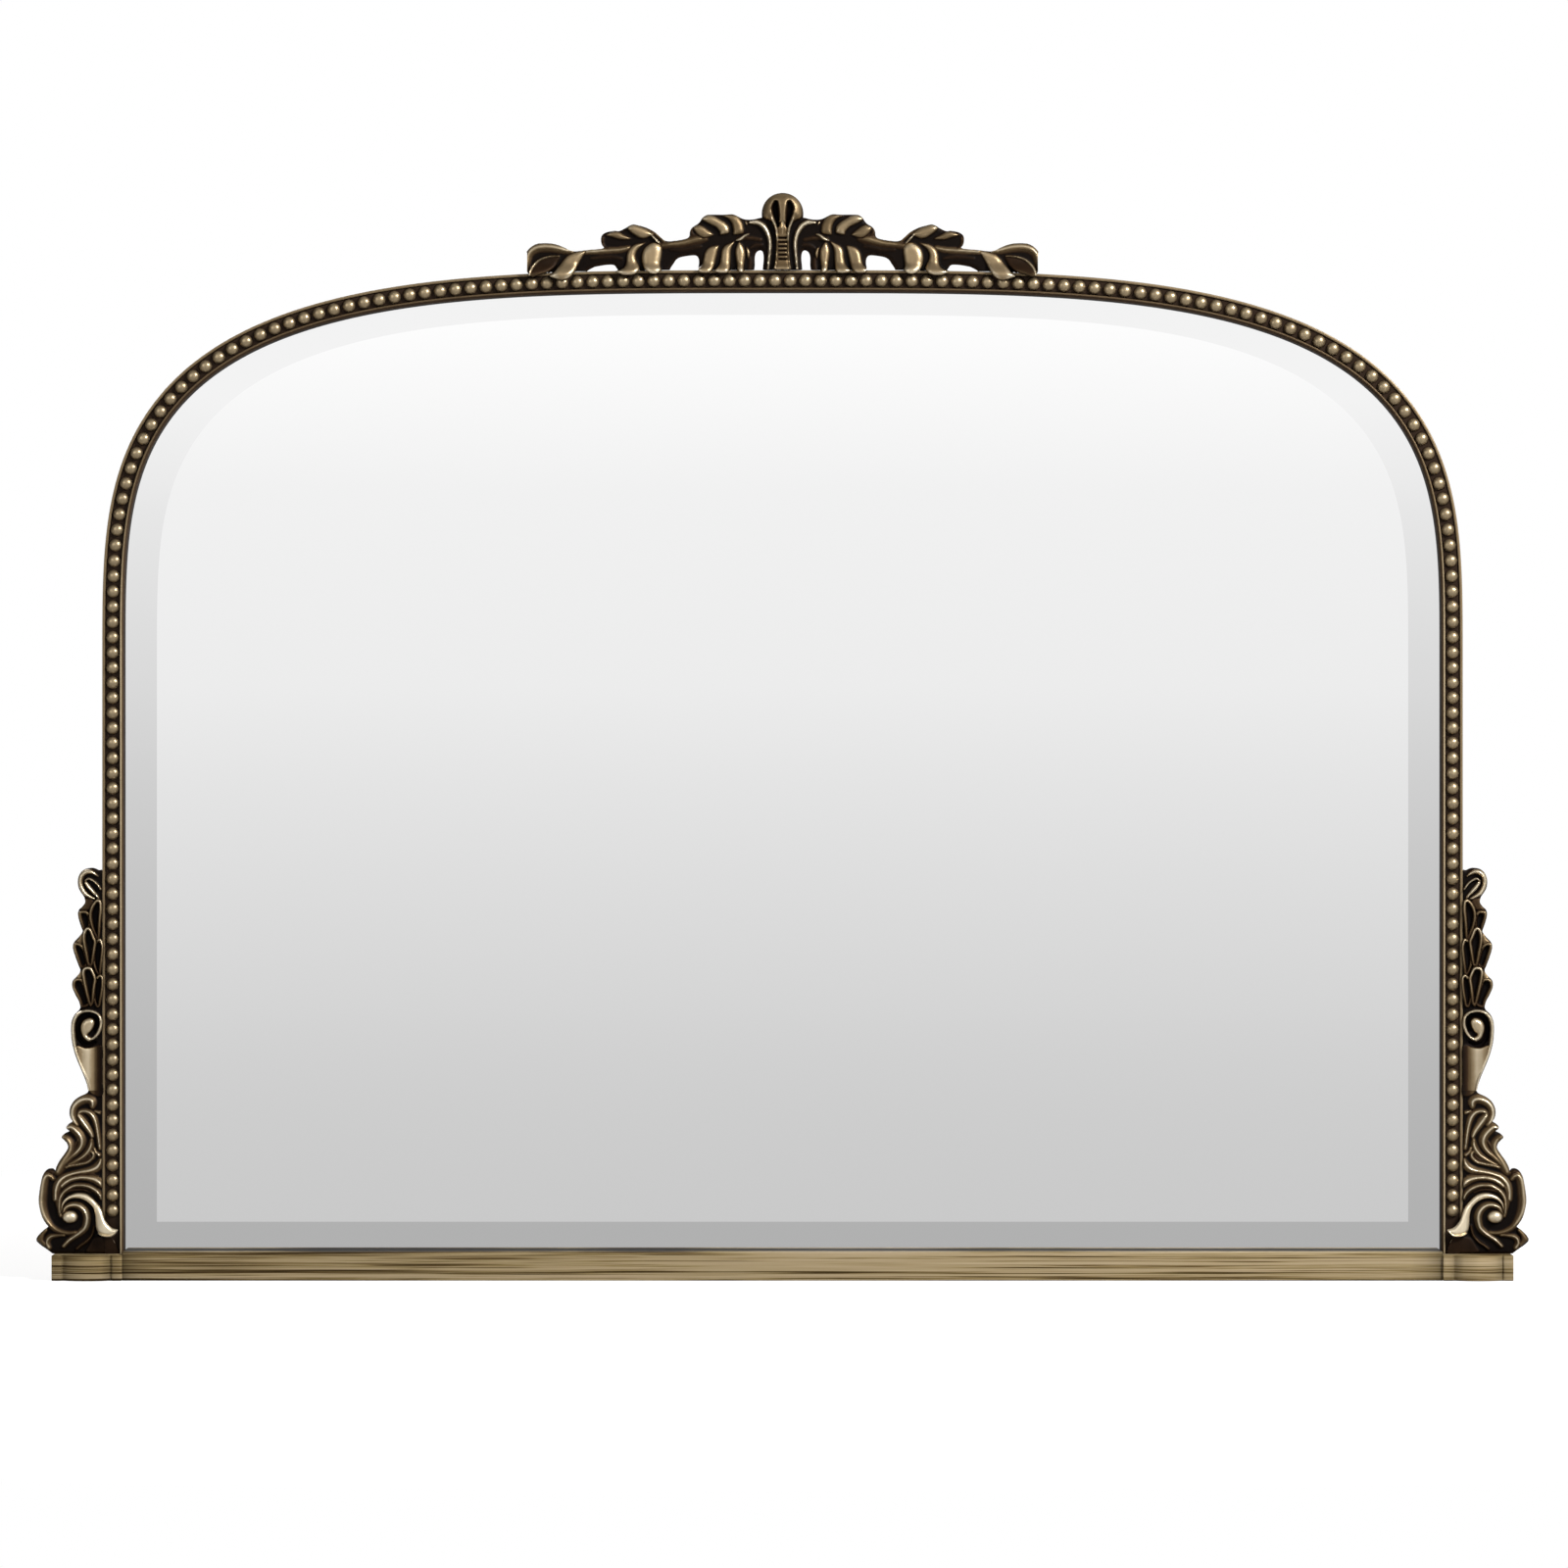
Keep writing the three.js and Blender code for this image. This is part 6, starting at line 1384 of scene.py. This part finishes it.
board = makeBoard()
dress(board, "mirror", fibreboard, ["backing_board"])
for name, side in sides:
    bumper = rename(makeBumper(f"wall_bumper_{name}"), f"wallBumper_{name}")
    dress(bumper, "mirror", rubber, [f"wall_bumper_{name}"])
    plateLow, plateHigh = boxOf(f"hanger_plate_{name}")
    hinge = ((plateLow[0] + plateHigh[0]) / 2, plateHigh[1] - hardware["plate"]["outer"],
             plateHigh[2] - hardware["plate"]["outer"])
    plate = makePlate(f"hangerPlate_{name}", hinge)
    dress(plate, "mirror", zincSteel, [f"hanger_plate_{name}"])
    ring = makeRing(f"hangerRing_{name}", hinge)
    dress(ring, f"ring_{name}", zincSteel, [f"hanger_ring_{name}"], smoothAngle=60)
for node in [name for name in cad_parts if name.startswith(("board_screw", "hanger_screw"))]:
    kind, where = node.split("_screw_")
    screw = makeScrew(node, *hardware["screw"][kind])
    dress(rename(screw, f"{kind}Screw_{where}"), "mirror", zincSteel, [node])
print("back hardware done")


# Plain finishes on the solids that are kept as they are.
finishes = {"backing_board": fibreboard, "felt_sheet": felt, "wall_bumper": rubber, "hanger": zincSteel,
            "board_screw": zincSteel, "stile_screw": zincSteel, "head_dowel": beech, "plinth_dowel": beech,
            "crest_pin": drawnBrass, "husk_pin": drawnBrass, "acanthus_pin": drawnBrass}
for name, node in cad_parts.items():
    for start, material in finishes.items():
        if name.startswith(start):
            node.data.materials.clear()
            node.data.materials.append(material)


room = {
    "size": 14, "ambient": 0.27, "paint": "#f2f1ef",
    "wall": ((0.043, "#d6d6d6"), (0.219, "#dfdfdf"), (0.35, "#e6e6e6"), (0.481, "#eeeeee"), (0.743, "#f3f3f3"),
             (0.96, "#ffffff")),
    "ground": ((0, "#bdbdbd"), (0.02, "#cacaca"), (0.57, "#d1d1d1"), (1, "#d6d6d6")),
    "groundFrom": -0.16, "groundTo": -7, "veil": 0.35, "sheet": 0.75, "fadeFrom": 0.8, "fadeTo": 1.8,
    "light": "#f4f3f1",
}
lamps = {"key": ((2.2, -2.1, 2.3), (0, 0, 0.45), 0.6, 175), "fill": ((-2.2, -2.6, 1.4), (0, 0, 0.4), 1.6, 18),
         "rear": ((-1.5, 3.2, 2.4), (0, 0, 0.45), 1.8, 95)}
photographer = {"distance": 6.0, "x": 0.0012, "z": 0.399, "sensor": 36, "width": 1.264, "clipEnd": 100}


def grey(value):
    return value, value, value, 1


def mixShaders(tree, factor, first, second):
    return addNode(tree, "MixShader", links={0: factor, 1: first.outputs[0], 2: second.outputs[0]})


def makeFloor():
    # A pale floor that is white to the eye outside the shadow. The glass sees it pale towards the horizon and
    # darker close to the mirror, a painted shade.
    chooseOnly()
    bpy.ops.mesh.primitive_plane_add(size=room["size"], location=(0, 0, 0))
    floor = startPiece("floor")
    material = bpy.data.materials.new("pale painted floor")
    material.use_nodes = True
    tree = material.node_tree
    tree.nodes.clear()
    paint = addNode(tree, "BsdfDiffuse", {"Color": linear(room["paint"])})
    veil = addNode(tree, "BsdfDiffuse", {"Color": grey(room["veil"])})
    sheet = addNode(tree, "Emission", {"Color": grey(room["sheet"]), "Strength": 1})
    near = addNode(tree, "AddShader", links={0: veil.outputs[0], 1: sheet.outputs[0]})
    white = addNode(tree, "Emission", {"Color": grey(1), "Strength": 1})
    spot = addNode(tree, "TexCoord").outputs["Object"]
    distance = addNode(tree, "VectorMath", {"operation": "LENGTH"}, {0: spot})
    far = addNode(tree, "MapRange", {"From Min": room["fadeFrom"], "From Max": room["fadeTo"]},
                  {"Value": distance.outputs["Value"]})
    seen = mixShaders(tree, far.outputs[0], near, white)
    place = addNode(tree, "SeparateXYZ", links={"Vector": spot})
    # Seen in the glass, the floor is painted darker the nearer it lies to the mirror: painted shade.
    away = addNode(tree, "MapRange", {"From Min": room["groundFrom"], "From Max": room["groundTo"]},
                   {"Value": place.outputs["Y"]})
    pale = addNode(tree, "ValToRGB", links={"Fac": away.outputs[0]}, stops=room["ground"])
    mirrored = addNode(tree, "Emission", {"Strength": 1}, {"Color": pale.outputs[0]})
    rays = addNode(tree, "LightPath")
    direct = mixShaders(tree, rays.outputs["Is Camera Ray"], paint, seen)
    surface = mixShaders(tree, rays.outputs["Is Glossy Ray"], direct, mirrored)
    addNode(tree, "OutputMaterial", links={"Surface": surface.outputs[0]})
    floor.data.materials.append(material)


def makeWorld():
    # White behind the object. The glass and the gilt see a wall that pales upwards and dims to the sides.
    world = bpy.data.worlds.new("pale room")
    bpy.context.scene.world = world
    world.use_nodes = True
    tree = world.node_tree
    tree.nodes.clear()
    way = addNode(tree, "SeparateXYZ", links={"Vector": addNode(tree, "TexCoord").outputs["Generated"]})
    lift = addNode(tree, "MapRange", {"From Min": -0.035, "From Max": 0.065}, {"Value": way.outputs["Z"]})
    wall = addNode(tree, "ValToRGB", links={"Fac": lift.outputs[0]}, stops=room["wall"])
    facing = addNode(tree, "MapRange", {"From Min": -0.3, "From Max": -0.9, "To Min": 0.35, "To Max": 1},
                     {"Value": way.outputs["Y"]})
    window = addNode(tree, "MapRange", {"From Min": -0.65, "From Max": -0.15, "To Min": 0.4, "To Max": 1},
                     {"Value": way.outputs["X"]})
    bright = addNode(tree, "Math", {"operation": "MULTIPLY"}, {0: facing.outputs[0], 1: window.outputs[0]})
    rays = addNode(tree, "LightPath")
    ambient = addNode(tree, "Background", {"Color": linear(room["light"]), "Strength": room["ambient"]})
    white = addNode(tree, "Background", {"Color": grey(1), "Strength": 1})
    reflected = addNode(tree, "Background", links={"Color": wall.outputs[0], "Strength": bright.outputs[0]})
    direct = mixShaders(tree, rays.outputs["Is Camera Ray"], ambient, white)
    surface = mixShaders(tree, rays.outputs["Is Glossy Ray"], direct, reflected)
    addNode(tree, "OutputWorld", links={"Surface": surface.outputs[0]})


def addLamp(name, place, aim, size, power):
    light = bpy.data.lights.new(name, "AREA")
    light.size, light.energy = size, power
    lamp = bpy.data.objects.new(name, light)
    bpy.context.collection.objects.link(lamp)
    lamp.location = place
    direction = np.array(aim, float) - np.array(place, float)
    lamp.rotation_euler = Vector(direction).to_track_quat("-Z", "Y").to_euler()


def makeCamera():
    # A long lens straight on, level with the middle of the photograph: 1600 pixels take in 1264 mm at the face.
    camera = bpy.data.cameras.new("camera")
    eye = bpy.data.objects.new("camera", camera)
    bpy.context.collection.objects.link(eye)
    p = photographer
    eye.location = (p["x"], -p["distance"], p["z"])
    eye.rotation_euler = (math.pi / 2, 0, 0)
    camera.sensor_width = p["sensor"]
    camera.lens = p["sensor"] * p["distance"] / p["width"]
    camera.clip_end = p["clipEnd"]
    bpy.context.scene.camera = eye


makeFloor()
makeWorld()
for name, lamp in lamps.items():
    addLamp(name, *lamp)
makeCamera()
bpy.context.scene.view_settings.view_transform = "Standard"
print("room, lights and camera done")
